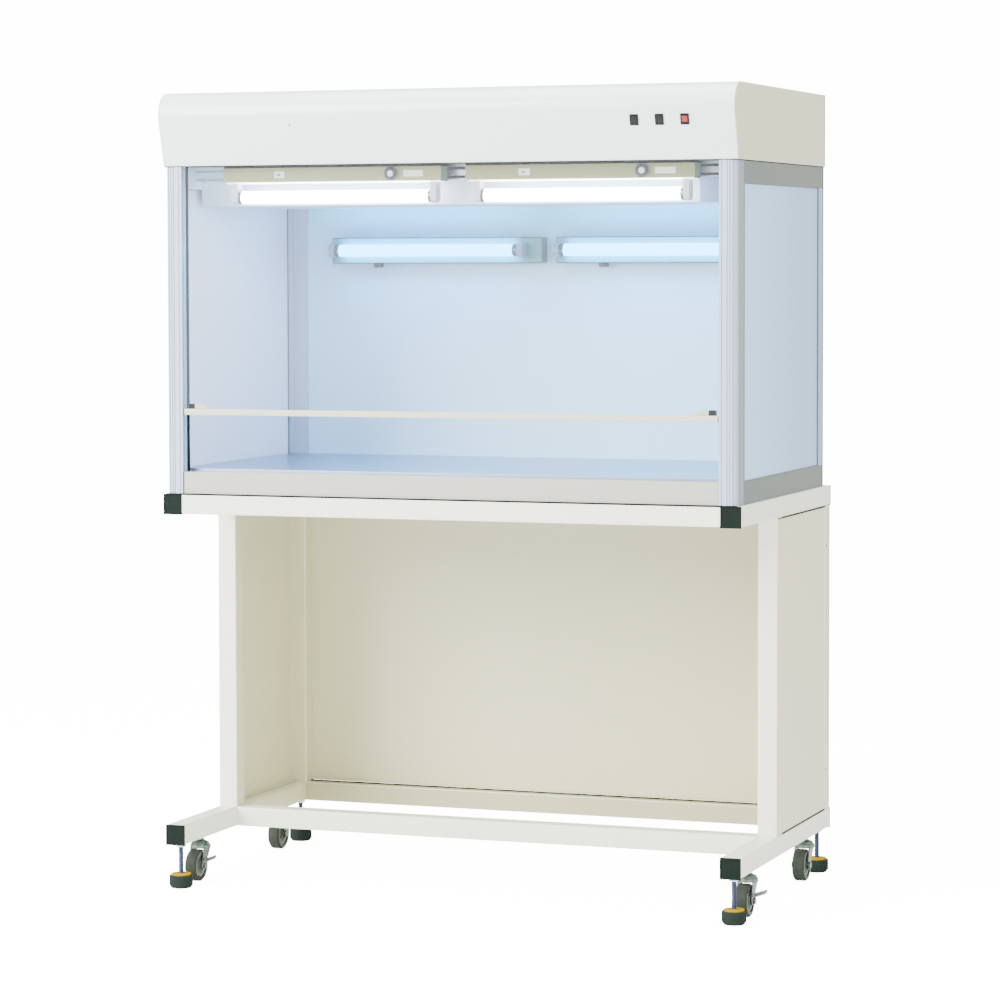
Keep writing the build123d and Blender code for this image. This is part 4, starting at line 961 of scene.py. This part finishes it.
@dataclass
class Stand(Assembly):
    """The tubular stand: frames, beams, caps, panels and their screws."""

    name: str = "stand"
    tube: float = 40.0
    depth: float = 675.0
    cap: float = 3.0
    brim: float = 0.8
    panel_front: float = 302.0
    bars_apart: float = 600.0  # a line between the front and the rear crossbar
    end: float = 600.0  # the side frames' outer faces
    screw_line: tuple[float, float, float] = (640.0, 215.0, 677.0)  # depth, then the two heights
    levels: tuple[float, float] = (91.0, 760.0)

    def build(self) -> None:
        """Builds and fits every piece of the stand."""
        for side in ("left", "right"):
            self.two_tone(self.trace(f"side_frame_{side}", IVORY, 0.0))
        self.trace("top_beams", IVORY, 0.0)
        bars = self.trace("crossbars", IVORY, 0.0)
        rear = at(0, self.bars_apart, 0).y
        # The rear crossbar's front and top faces take a darker painted shade.
        self.second_tone(bars, BAR_PAINTED_SHADE, lambda c, n: c.y > rear and n.y < -0.9)
        self.second_tone(bars, BAR_PAINTED_SHADE, lambda c, n: c.y > rear and n.z > 0.9)
        # The panels are darkened as painted shade.
        self.trace("side_panels", PANEL_IVORY_AND_SHADE, 0.5)
        self.trace("rear_panel", PANEL_IVORY_AND_SHADE, 0.5)
        self.caps()
        self.screws()

    def two_tone(self, frame_side: bpy.types.Object) -> None:
        """Paints shade on the tubes: the faces that look at the panels, and the foot tubes' inner sides under them,
        take the panels' darker tone.
        """
        low, high = at(0, 0, self.levels[0] + self.tube), at(0, 0, self.levels[1])
        front = at(0, self.panel_front, 0)
        split(frame_side, looks_aside, (low, UP), (high, UP), (front, REARWARD))

        def beside_panel(centre: Vector, normal: Vector) -> bool:
            """Says whether a face is part of a post and looks at a panel."""
            behind = normal.y < -0.9 and centre.y > front.y
            return low.z < centre.z < high.z and (looks_aside(centre, normal) or behind)

        def below_panel(centre: Vector, normal: Vector) -> bool:
            """Says whether a face is the inner side of the foot tube under a panel."""
            return centre.y > front.y and centre.z < low.z and looks_inward(centre, normal)

        # Painted shade: these tube faces take the panels' darker tone.
        self.second_tone(frame_side, PANEL_IVORY_AND_SHADE, beside_panel)
        self.second_tone(frame_side, PANEL_IVORY_AND_SHADE, below_panel)

    def caps(self) -> None:
        """Makes one cap with a sunk square and copies it to every tube end."""
        half, brim = self.tube / 2, self.brim
        first = cuboid("tube_cap", (-half - brim, 0, -half - brim * 2), (half + brim, self.cap, half))
        recess(first, looks_front, 3.4, 0.9)
        ease(first, 0.6)
        rear = twin(first, "tube_cap_rear", (0, 0, 0))
        half_turn(rear)
        caps = []
        for x in (half - self.end, self.end - half):
            for level in self.levels:
                caps.append(twin(first, "tube_cap", (x, 0, level + half)))
                caps.append(twin(rear, "tube_cap", (x, self.depth, level + half)))
        bpy.data.objects.remove(first)
        bpy.data.objects.remove(rear)
        self.fit(join("tube_caps", caps), CAP_BLACK, "cabinet", "cap_plastic", "tube_end_caps")

    def screws(self) -> None:
        """Puts the small screws in the rear posts that hold the panels."""
        screws = []
        depth, *heights = self.screw_line
        for side in (-1, 1):
            for z in heights:
                screw = Screw(2.4, 1.4).build("panel_screw", (0, 0, 0), Axis.X)
                if side < 0:
                    half_turn(screw)
                screw.data.transform(Matrix.Translation(Vector((self.end * side, depth, z)) / 1000))
                screws.append(screw)
        self.fit(join("panel_screws", screws), ZINC, "cabinet", "zinc_plate")


@dataclass
class Feet(Assembly):
    """The levelling feet: fluted rubber cup, yellow disc, threaded stud and lock nut."""

    name: str = "feet"
    pitch: float = 1.5
    nut_bottom: float = 82.6
    tube_bottom: float = 91.0
    stud_radius: float = 5.0
    nut_corner: float = 9.8
    cup_sides: int = 64

    def build(self) -> None:
        """Models one foot, then copies it to each corner."""
        cup = self.cup()
        rings = [(19.6, 25.4), (20, 26), (20, 28.3), (19.2, 29.3), (9, 29.3), (8.2, 28.6), (5, 28.6), (4.6, 29.5)]
        disc = turned("foot_disc", (0, 0, 0), Axis.Z, rings)
        ease(disc, 0.0)
        stud = self.stud()
        nut = self.nut()
        pieces = ((cup, "cup", FOOT_BLACK), (disc, "disc", DISC_YELLOW), (stud, "stud", STUD_BLUE))
        nuts = []
        for corner, (x, y, _) in CORNERS.items():
            body = f"leveller_{corner}"
            place = (x, y, 0)
            for piece, kind, finish in pieces:
                copy = twin(piece, f"foot_{kind}_{corner}", place)
                self.fit(copy, finish, body, "foot_rubber", f"foot_{corner}")
            nuts.append(twin(nut, "lock_nut", place))
        self.fit(join("lock_nuts", nuts), NUT_ZINC, "cabinet", "stud_steel", "foot_lock_nuts")
        for pattern in (cup, disc, stud, nut):
            bpy.data.objects.remove(pattern)

    def cup(self) -> bpy.types.Object:
        """Turns the cup and sinks a flute between each pair of ribs."""
        rings = [(19.4, 0), (20.2, 0.7), (23.6, 5.4), (24, 6.4), (24, 24)]
        rings += [(23.4, 25.4), (22.4, 26), (20.6, 26), (20.3, 25)]
        obj = turned("foot_cup", (0, 0, 0), Axis.Z, rings, self.cup_sides)
        flute = math.radians(360 / self.cup_sides)

        def valley(centre: Vector, normal: Vector) -> bool:
            """Says whether a face is the side of every second step round the cup."""
            offset = centre - ORIGIN
            step = int(round((math.atan2(offset.y, offset.x) + math.pi) / flute - 0.5))
            side = abs(normal.z) < 0.2 and offset.xy.length > 0.023 and 0.007 < centre.z < 0.024
            return side and step % 2 == 0

        recess(obj, valley, 0.3, 0.45, apart=True)
        ease(obj, 0.0)
        return obj

    def stud(self) -> bpy.types.Object:
        """Cuts the thread as a stack of vee grooves up to where it runs inside the tube."""
        crest, root = self.stud_radius, self.stud_radius - 0.65
        rings = [(crest - 0.4, 29.0)]
        z = 30.0
        while z < 113.0:
            rings += [(root, z), (crest, z + self.pitch * 0.4), (crest, z + self.pitch * 0.6)]
            z += self.pitch
        rings += [(root, 114.4), (root - 0.4, 115.0)]
        obj = turned("foot_stud", (0, 0, 0), Axis.Z, rings, 20)
        ease(obj, 0.0, angle=50)
        return obj

    def nut(self) -> bpy.types.Object:
        """Makes the hexagon with its corners turned off."""
        low, high, r = self.nut_bottom, self.tube_bottom, self.nut_corner
        rings = [(r - 1, low), (r, low + 0.8), (r, high - 0.8), (r - 1, high)]
        obj = turned("lock_nut", (0, 0, 0), Axis.Z, rings, 6)
        ease(obj, 0.3)
        return obj


@dataclass
class Casters(Assembly):
    """The casters: stems, forks, two-part wheels and the brake levers."""

    name: str = "casters"
    hub_radius: float = 21.8
    hub_width: float = 19.0
    # rim: width of the painted highlight ring on the hub's edge
    rim: float = 2.4
    trail: float = 20.0
    axle: float = 33.5

    def build(self) -> None:
        """Fits every caster."""
        self.trace("caster_stems", ZINC, 0.5)
        for corner in CORNERS:
            self.trace(f"caster_fork_{corner}", ZINC, 0.7, f"fork_{corner}")
            self.wheel(corner)
            if corner.startswith("front"):
                self.trace(f"brake_lever_{corner}", LEVER_ZINC, 0.5, f"lever_{corner}")

    def wheel(self, corner: str) -> None:
        """Eases a wheel and gives its tyre and hub their own finishes, with a pale painted highlight on the hub's
        rim.
        """
        x, _, y = CORNERS[corner]
        obj = retrace(self.frame, f"caster_wheel_{corner}", f"caster_wheel_{corner}_eased", 0.8)
        for finish in (TYRE_GREY, HUB_GREY, HUB_RIM_HIGHLIGHT):
            obj.data.materials.append(finish.make())
        centre = at(x, y - self.trail, self.axle)
        hub_face = self.hub_width / 2000

        def hub_side(middle: Vector, normal: Vector) -> bool:
            """Says whether a face is one of the hub's two flat sides."""
            return looks_aside(middle, normal) and abs(abs(middle.x - centre.x) - hub_face) < 0.001

        recess(obj, hub_side, 1.6, 0.5)
        for face in obj.data.polygons:
            offset = face.center - centre
            reach = math.hypot(offset.y, offset.z) * 1000
            # The ring just inside the tyre takes the painted highlight.
            face.material_index = 0 if reach > self.hub_radius else 2 if reach > self.hub_radius - self.rim else 1
        self.fit(obj, None, f"wheel_{corner}", "wheel_rubber", f"caster_wheel_{corner}")


@dataclass
class Chamber(Assembly):
    """The work chamber: posts, rails, glazing, wall and work top."""

    name: str = "chamber"
    inner: float = 557.0
    sill: float = 844.5
    pane_top: float = 1410.5
    corner: float = 632.0
    top: float = 1455.0

    def build(self) -> None:
        """Fits the chamber."""
        posts = self.trace("front_posts", POST_WHITE, 0.0, angle=28)
        # The front posts' outer sides take painted shade, their inner sides a cyan painted reflection.
        self.second_tone(posts, POST_OUTER_SHADE, lambda c, n: abs(n.x) > 0.95 and abs(c.x - ORIGIN.x) > 0.5925)
        # Cyan painted reflection on the inner sides.
        self.second_tone(posts, POST_PAINTED_REFLECTION, lambda c, n: abs(n.x) > 0.95 and abs(c.x - ORIGIN.x) < 0.5575)
        self.rear_posts()
        self.trace("front_bottom_rail", SILL_WHITE, 0.7)
        rails = self.trace("side_rails", RAIL_GREY, 0.7)
        # The rails' inner faces take pale blue painted light from the chamber.
        self.second_tone(rails, SIDE_BLUE_AND_CHAMBER_LIGHT, looks_inward)
        self.trace("rear_rails", RAIL_GREY, 0.7)
        self.side_panes()
        self.trace("pane_gaskets", RAIL_GREY, 0.3)
        # The wall's upper part carries a painted glow of the ultraviolet lamps; its rear faces take a plain pale
        # tone.
        wall = self.trace("back_wall", WALL_BLUE_AND_PAINTED_GLOW, 0.3)
        self.second_tone(wall, SIDE_BLUE_AND_CHAMBER_LIGHT, lambda c, n: n.y > 0.5)
        # The work top's blue tint is a painted reflection.
        self.trace("work_top", STAINLESS_AND_BLUE_REFLECTION, 0.9)
        self.seals()
        self.seams()

    def rear_posts(self) -> None:
        """Fits the rear posts and gives their outer sides the panes' tone up to the corner seam."""
        obj = self.trace("rear_posts", POST_WHITE, 0.4)
        corner, low, high = at(0, self.corner, 0), at(0, 0, self.sill), at(0, 0, self.pane_top)
        split(obj, looks_aside, (corner, REARWARD), (low, UP), (high, UP))
        obj.data.materials.append(POST_SIDE.make())
        obj.data.materials.append(RAIL_GREY.make())
        for face in obj.data.polygons:
            side = looks_aside(face.center, face.normal) and abs(face.center.x - ORIGIN.x) > 0.59
            level = 1 if low.z < face.center.z < high.z else 2
            face.material_index = level if side and face.center.y < corner.y else 0

    def side_panes(self) -> None:
        """Fits the side panes, with painted shade towards the rear and a brighter painted light on the faces that
        look into the chamber.
        """
        self.second_tone(self.trace("side_panes", SIDE_GLASS_AND_REAR_SHADE, 0.3), INNER_GLASS_PAINTED_LIGHT, looks_inward)

    def seams(self) -> None:
        """Lays the thin dark joints between stand, chamber and head, and the beads beside the front posts."""
        wide, top, corner = 593.0, self.top, self.corner
        dark = [
            cuboid("seam", (-wide, -0.5, 798.5), (wide, 2.6, 801.4)),
            cuboid("seam", (-wide, -0.4, top - 1.4), (wide, 0.9, top + 0.2)),
            cuboid("seam", (-558, 655.2, 131.1), (558, 656.4, 133.9)),
        ]
        pale = []
        dark_spans = (
            ((self.inner - 0.6, 1.0, 801), (self.inner + 0.8, 3.4, self.sill)),
            ((wide, 2.0, top - 1.6), (wide + 1.6, 642, top)),
            ((wide - 0.4, corner, 801), (wide + 0.4, corner + 1.4, top - 2)),
            ((598, 266, 757.4), (600.3, 634, 759.4)),
            ((598, 305, 131.2), (600.3, 634, 132.6)),
        )
        pale_spans = (
            ((590.3, 45.3, 846), (591.9, 56, 1409)),
            ((wide - 0.4, 45, 799.6), (wide + 0.5, 640, 800.8)),
            ((594.8, 640.5, top + 3), (595.5, 642.5, 1599)),
        )
        for side in (-1, 1):
            for kind, strips, spans in (("seam", dark, dark_spans), ("bead", pale, pale_spans)):
                for low, high in spans:
                    a, b = sorted((side * low[0], side * high[0]))
                    strips.append(cuboid(kind, (a, *low[1:]), (b, *high[1:])))
        for piece in (*dark, *pale):
            ease(piece, 0.15, 1)
        self.fit(join("joint_seams", dark), SEAL_BLACK, "cabinet", "gasket_rubber")
        self.fit(join("joint_beads", pale), END_GREY, "cabinet", "gasket_rubber")

    def seals(self) -> None:
        """Presses a ribbed black strip into the rear edge of each front post's inner face."""
        strips = []
        for side in (-1, 1):
            x = sorted((side * self.inner, side * (self.inner - 1.4)))
            strip = cuboid("post_seal", (x[0], 21, self.sill), (x[1], 32, self.top))
            recess(strip, lambda c, n, s=side: n.x * s < -0.9, 2.6, 0.7)
            ease(strip, 0.3)
            strips.append(strip)
        self.fit(join("post_seals", strips), SEAL_BLACK, "cabinet", "gasket_rubber")


@dataclass
class Sash(Assembly):
    """The sliding sash: its pane, bottom bar, shoes and catches."""

    name: str = "sash"
    catch_split: float = 534.0

    def build(self) -> None:
        """Fits the sash."""
        self.trace("sash_pane", SASH_GLASS, 0.4, "sash")
        self.trace("sash_bar", CREAM, 0.0, "sash")
        self.catches()

    def catches(self) -> None:
        """Splits each catch into a cream tongue and a dark end, and darkens the shoes."""
        obj = retrace(self.frame, "sash_catches", "sash_catches_eased", 0.0)
        split(obj, any_face, *((at(side * self.catch_split, 0, 0), ACROSS) for side in (-1, 1)))
        ease(obj, 0.4)
        obj.data.materials.append(CREAM.make())
        obj.data.materials.append(SEAL_BLACK.make())
        for face in obj.data.polygons:
            face.material_index = int(abs(face.center.x - ORIGIN.x) > self.catch_split / 1000)
        self.fit(obj, None, "sash", "sash_cream", "sash_catches")


@dataclass
class Head(Assembly):
    """The head: fascia, sheets, grille, switches, gland and the fascia's screw."""

    name: str = "head"
    lip: tuple[float, float] = (1.0, 1455.0)
    lean: float = math.degrees(math.atan2(25, 90))
    lens_span: tuple[float, float] = (1525.6, 1536.4)
    screw_place: tuple[float, float] = (-312.0, 78.0)  # right of the middle, above the lip

    def build(self) -> None:
        """Fits the head."""
        self.trace("fascia", HEAD_WHITE, 0.0, angle=25)
        # The wrap takes a darker painted shade than the fascia.
        self.trace("head_wrap", HEAD_SIDE_AND_SHADE, 0.5)
        self.trace("top_cover", HEAD_WHITE, 0.4)
        self.trace("intake_grille", HEAD_WHITE, 0.0)
        self.paint("head_base_plate", GALVANISED)
        self.trace("prefilter_mat", MAT_WHITE, 1.0)
        self.trace("switch_bezels", SWITCH_BLACK, 0.5)
        self.trace("fan_switch", ROCKER_GREEN, 0.4, "fan_rocker")
        self.trace("lamp_switch", ROCKER_GREEN, 0.4, "lamp_rocker")
        self.lens(self.trace("uv_switch", SWITCH_BLACK, 0.4, "uv_rocker"))
        self.trace("cord_gland", CAP_BLACK, 0.5)
        self.fascia_screw()

    def lens(self, rocker: bpy.types.Object) -> None:
        """Lets the red lens into the middle of the lit rocker."""
        low, high = (at(0, 0, level) for level in self.lens_span)
        split(rocker, lambda c, n: n.y < -0.5, (low, UP), (high, UP))
        self.second_tone(rocker, RED_LENS, lambda c, n: low.z < c.z < high.z and n.y < -0.5)

    def fascia_screw(self) -> None:
        """Sets the small screw near the left end of the fascia, square to its lean."""
        x, rise = self.screw_place
        lean = math.radians(self.lean)
        screw = Screw(1.8, 1.0).build("fascia_screw", (0, 0, 0), Axis.Z)
        seat = at(x, self.lip[0] - rise * math.tan(lean), self.lip[1] + rise)
        turn = Matrix.Rotation(math.pi / 2 + lean, 4, "X")
        screw.data.transform(Matrix.Translation(seat) @ turn @ Matrix.Translation(-ORIGIN))
        self.fit(screw, ZINC, "cabinet", "zinc_plate")


@dataclass
class AirPath(Assembly):
    """What the air passes through: housing, impeller, filter and the ceiling beside it."""

    name: str = "air path"
    left: float = -400.0
    right: float = 460.0
    front: float = 155.0
    rear: float = 592.0
    pleat: float = 8.0
    face: float = 1382.0
    fold: float = 3.4
    threads: int = 6

    def build(self) -> None:
        """Fits the air path."""
        self.trace("hepa_filter", FILTER_WHITE, 0.6)
        # The ceiling infills take painted shade; the left one takes the pale inner tone, so that no edge shows.
        infills = self.trace("ceiling_infills", INFILL_PAINTED_SHADE, 0.8)
        self.second_tone(infills, SIDE_BLUE_AND_CHAMBER_LIGHT, lambda c, n: c.x < 0)
        self.paint("fan_housing", GALVANISED)
        self.paint("fan_motor", MOTOR_GREY)
        self.trace("fan_impeller", BLADE, 0.0, "fan_wheel")
        self.pleats()

    def pleats(self) -> None:
        """Folds the filter's face: one vee ridge, repeated across the pack, with threads that part the folds."""
        left, front, rear, low = self.left, self.front, self.rear, self.face - self.fold
        ridge = cuboid("filter_pleats", (left, front, low), (left + self.pleat, rear, self.face))
        middle = at(left + self.pleat / 2, (front + rear) / 2, low)
        narrow(ridge, lambda c, n: n.z < -0.9, middle, (0.12, 1, 1))
        row = ridge.modifiers.new("Row", "ARRAY")
        row.count = int((self.right - self.left) / self.pleat)
        row.use_relative_offset = False
        row.use_constant_offset = True
        row.constant_offset_displace = (self.pleat / 1000, 0, 0)
        select_only(ridge)
        bpy.ops.object.modifier_apply(modifier=row.name)
        length = self.right - left
        rings = [(0.7, 0), (0.8, 1), (0.8, length - 1), (0.7, length)]
        threads = []
        for n in range(self.threads):
            y = front + (n + 0.5) * (rear - front) / self.threads
            threads.append(turned("filter_thread", (left, y, self.face - 3.6), Axis.X, rings, 8))
        pack = join("filter_pleats", [ridge, *threads])
        self.fit(pack, PLEAT_WHITE, "cabinet", "filter_white")


@dataclass
class Lamps(Assembly):
    """The lamps: rail, room fixtures, ultraviolet fixtures, holders, tubes and starters."""

    name: str = "lamps"
    length: float = 413.0
    radius: float = 13.0
    pins: float = 6.35
    room_starts: tuple[float, float] = (-463.5, 53.5)
    room_axis: tuple[float, float] = (79.5, 1393.0)
    uv_starts: tuple[float, float] = (-454.0, 51.0)
    uv_axis: tuple[float, float] = (557.0, 1287.0)
    room_bodies: tuple[float, float] = (-491.5, 25.5)  # the fixtures' left ends
    uv_bodies: tuple[float, float] = (-470.0, 35.0)
    groove: float = 105.8  # what lies behind this is the rail's groove
    starter_front: float = 52.4  # what lies behind this is sunk in the starters

    def build(self) -> None:
        """Fits the lamps."""
        rail = self.trace("lamp_rail", ANODISED, 0.25)
        left_end = at(self.room_bodies[0], 0, 0)
        split(rail, any_face, (left_end, ACROSS))
        groove = at(0, self.groove, 0).y
        # The back of the rail's groove is darkened as painted shade.
        self.second_tone(rail, SEAM_AND_GROOVE_SHADE, lambda c, n: c.y > groove and n.y < -0.5 and 1.427 < c.z < 1.454)
        # The rail's left end takes the pale inner tone, so that no edge shows.
        self.second_tone(rail, SIDE_BLUE_AND_CHAMBER_LIGHT, lambda c, n: c.x < left_end.x)
        bodies = self.trace("fixture_bodies", FIXTURE_CREAM, 0.4)
        self.second_tone(bodies, END_GREY, lambda c, n: n.x > 0.9 and c.z < 1.451)
        self.trace("uv_bodies", UV_WHITE, 1.6)
        holders = self.trace("lampholders", HOLDER_WHITE, 0.8)
        self.second_tone(holders, CLIP_GREY, lambda c, n: c.z < 1.34)
        for side in ("left", "right"):
            self.trace(f"slide_switch_{side}", KNOB_DARK, 0.3, f"{side}_slider")
        starters = self.trace("glow_starters", STARTER_GREY, 0.7)
        sunk = at(0, self.starter_front, 0).y
        recess(starters, lambda c, n: n.y < -0.9 and c.z > 1.4, 3.6, 0.4, apart=True)
        self.second_tone(starters, LABEL_WHITE, lambda c, n: n.y < -0.9 and c.z > 1.4 and c.y > sunk)
        self.tubes("room", self.room_starts, self.room_axis, 5.0, ROOM_LIGHT, "room_lamps")
        self.tubes("uv", self.uv_starts, self.uv_axis, 9.0, UV_LIGHT, "uv_lamps")
        self.plates()
        self.end_caps()
        self.outlines()

    def outlines(self) -> None:
        """Lays the dark joint above each room fixture and along each ultraviolet body."""
        strips = []
        for left in self.room_bodies:
            strips.append(cuboid("fixture_joint", (left + 1, 61.0, 1451.1), (left + 465, 63.5, 1454.9)))
            strips.append(cuboid("fixture_joint", (left + 464.8, 61.0, 1421.9), (left + 466.3, 98, 1423.3)))
        for left in self.uv_bodies:
            for level in (1259.6, 1312.9):
                strips.append(cuboid("body_joint", (left + 2, 576.3, level), (left + 472, 579.0, level + 1.5)))
        for strip in strips:
            ease(strip, 0.2, 1)
        self.fit(join("fixture_joints", strips), SEAM_AND_GROOVE_SHADE, "cabinet", "fixture_cream")

    def tubes(
        self, kind: str, starts: Iterable[float], axis: tuple[float, float], cap: float, finish: Finish, node: str
    ) -> None:
        """Makes the lit glass, the metal caps and the pins of a pair of tubes.

        Args:
            kind: What the pieces' names start with.
            starts: Each tube's left end.
            axis: The depth and the height that the tubes lie at.
            cap: How long their metal caps are.
            finish: The glass's finish.
            node: The solids that they stand for.
        """
        r, length = self.radius, self.length
        near_glass = [(r - 1.6, cap - 1), (r - 0.5, cap + 0.5), (r - 0.3, cap + 2)]
        glass_rings = near_glass + [(radius, length - place) for radius, place in reversed(near_glass)]
        cap_rings = [(r - 1.0, 0), (r, 0.8), (r, cap), (r - 0.35, cap + 0.6), (r - 0.4, cap + 1.5)]
        pin_rings = [(0.8, 0), (1.1, 0.5), (1.1, 5.0), (0.8, 5.5)]
        far_rings = [(radius, length - place) for radius, place in reversed(cap_rings)]
        y, z = axis
        glasses, caps = [], []
        for start in starts:
            glasses.append(turned(f"{kind}_glass", (start, y, z), Axis.X, glass_rings, 32))
            caps += [turned(f"{kind}_cap", (start, y, z), Axis.X, rings, 32) for rings in (cap_rings, far_rings)]
            for x in (start - 5, start + length - 0.5):
                for rise in (-self.pins, self.pins):
                    caps.append(turned(f"{kind}_pin", (x, y, z + rise), Axis.X, pin_rings, 10))
        for piece in (*glasses, *caps):
            ease(piece, 0.0, angle=50)
        self.fit(join(f"{kind}_tube_glass", glasses), finish, "cabinet", self.slot_of(node), node)
        self.fit(join(f"{kind}_tube_caps", caps), ZINC, "cabinet", self.slot_of(node), node)

    def plates(self) -> None:
        """Puts a blank plate and the switch's surround on each fixture, and below it a white reflector with a painted
        glow.
        """
        blanks, reflectors = [], []
        for left in self.room_bodies:
            for name, low, high in (
                ("blank_plate", (387, 60.7, 1431), (428, 61.3, 1443.5)),
                ("switch_plate", (110, 60.7, 1430.5), (133, 61.2, 1445)),
            ):
                plate = cuboid(name, (left + low[0], *low[1:]), (left + high[0], *high[1:]))
                recess(plate, looks_front, 1.0, 0.12)
                ease(plate, 0.12)
                blanks.append(plate)
            reflector = cuboid("reflector", (left + 4, 63, 1419.6), (left + 462, 96, 1422.9))
            narrow(reflector, lambda c, n: n.z < -0.9, at(left + 233, 79.5, 1419.6), (0.995, 0.7, 1))
            ease(reflector, 0.4)
            reflectors.append(reflector)
        self.fit(join("blank_plates", blanks), LABEL_WHITE, "cabinet", "fixture_cream")
        # The reflectors glow as painted light.
        self.fit(join("reflectors", reflectors), REFLECTOR_PAINTED_GLOW, "cabinet", "fixture_cream")

    def end_caps(self) -> None:
        """Closes the ends of the ultraviolet bodies with a grey cap."""
        caps = []
        for left in self.uv_bodies:
            for x in (left - 0.6, left + 472.6):
                cap = cuboid("uv_end", (x, 578.5, 1261.5), (x + 2, 610.5, 1312.5))
                recess(cap, looks_aside, 3.0, 0.4)
                ease(cap, 0.4)
                caps.append(cap)
        self.fit(join("uv_end_caps", caps), END_GREY, "cabinet", "uv_white")


@dataclass
class Studio:
    """The pale floor, the soft lights and the camera."""

    place: tuple[float, float, float] = (2.414448, -6.738078, 1.269797)
    yaw: float = 21.014
    pitch: float = -2.901
    roll: float = -0.187
    lens: float = 127.036
    shift: tuple[float, float] = (0.075355, -0.062605)
    surround: float = 1.65
    sweep: float = 15.0

    def build(self) -> None:
        """Sets the studio up."""
        self.floor()
        self.lights()
        self.camera()

    def floor(self) -> None:
        """Lays a pale sweep that the bench stands on."""
        bpy.ops.object.select_all(action="DESELECT")
        bpy.ops.mesh.primitive_plane_add(size=60, location=(0, 0, 0))
        floor = bpy.context.object
        floor.name = "studio_floor"
        dress(floor, Enamel("Studio floor", "F4F4F4", roughness=0.9, coat=0.0, drift=0.0, peel=0.0))
        tree = floor.data.materials[0].node_tree
        surface = tree.nodes["Principled BSDF"]
        surface.inputs["Emission Color"].default_value = (1, 1, 1, 1)
        look_split(tree, surface.inputs["Emission Strength"], 0.0, self.sweep - self.surround)

    def lights(self) -> None:
        """Hangs a large key light to the left, a fill to the right and a bright surround."""
        world = bpy.data.worlds.new("Studio surround")
        bpy.context.scene.world = world
        world.use_nodes = True
        background = world.node_tree.nodes["Background"]
        background.inputs["Color"].default_value = (1, 1, 1, 1)
        look_split(world.node_tree, background.inputs["Strength"], self.surround, self.sweep)
        for name, spot, size, power in (
            ("key_light", (-3.2, -4.6, 3.2), 3.4, 830.0),
            ("fill_light", (3.6, -4.0, 2.4), 3.0, 75.0),
            ("top_light", (0.0, -0.6, 5.0), 3.5, 330.0),
        ):
            lamp = bpy.data.lights.new(name, "AREA")
            lamp.size = size
            lamp.energy = power
            obj = bpy.data.objects.new(name, lamp)
            bpy.context.collection.objects.link(obj)
            obj.location = spot
            obj.rotation_euler = (Vector((0, 0, 0.9)) - Vector(spot)).to_track_quat("-Z", "Y").to_euler()

    def camera(self) -> None:
        """Stands the camera at its measured place and turn."""
        yaw, pitch, roll = (math.radians(a) for a in (self.yaw, self.pitch, self.roll))
        ahead = Vector((-math.sin(yaw) * math.cos(pitch), math.cos(yaw) * math.cos(pitch), math.sin(pitch)))
        right = Vector((math.cos(yaw), math.sin(yaw), 0))
        up = right.cross(ahead)
        tilted_right = right * math.cos(roll) + up * math.sin(roll)
        tilted_up = up * math.cos(roll) - right * math.sin(roll)
        data = bpy.data.cameras.new("View")
        data.lens = self.lens
        data.sensor_width = 36
        data.shift_x, data.shift_y = self.shift
        data.clip_end = 100
        obj = bpy.data.objects.new("View", data)
        bpy.context.collection.objects.link(obj)
        turn = Matrix((tilted_right, tilted_up, -ahead)).transposed()
        obj.matrix_world = Matrix.Translation(self.place) @ turn.to_4x4()
        bpy.context.scene.camera = obj


def main() -> None:
    """Builds the bench's dress and the studio, and logs each fitted piece's face count."""
    logging.basicConfig(level=logging.INFO, format="%(name)s %(message)s")
    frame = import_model()
    for part in (Stand, Feet, Casters, Chamber, Sash, Head, AirPath, Lamps):
        part(frame).build()
    Studio().build()


if __name__ == "__main__":
    main()
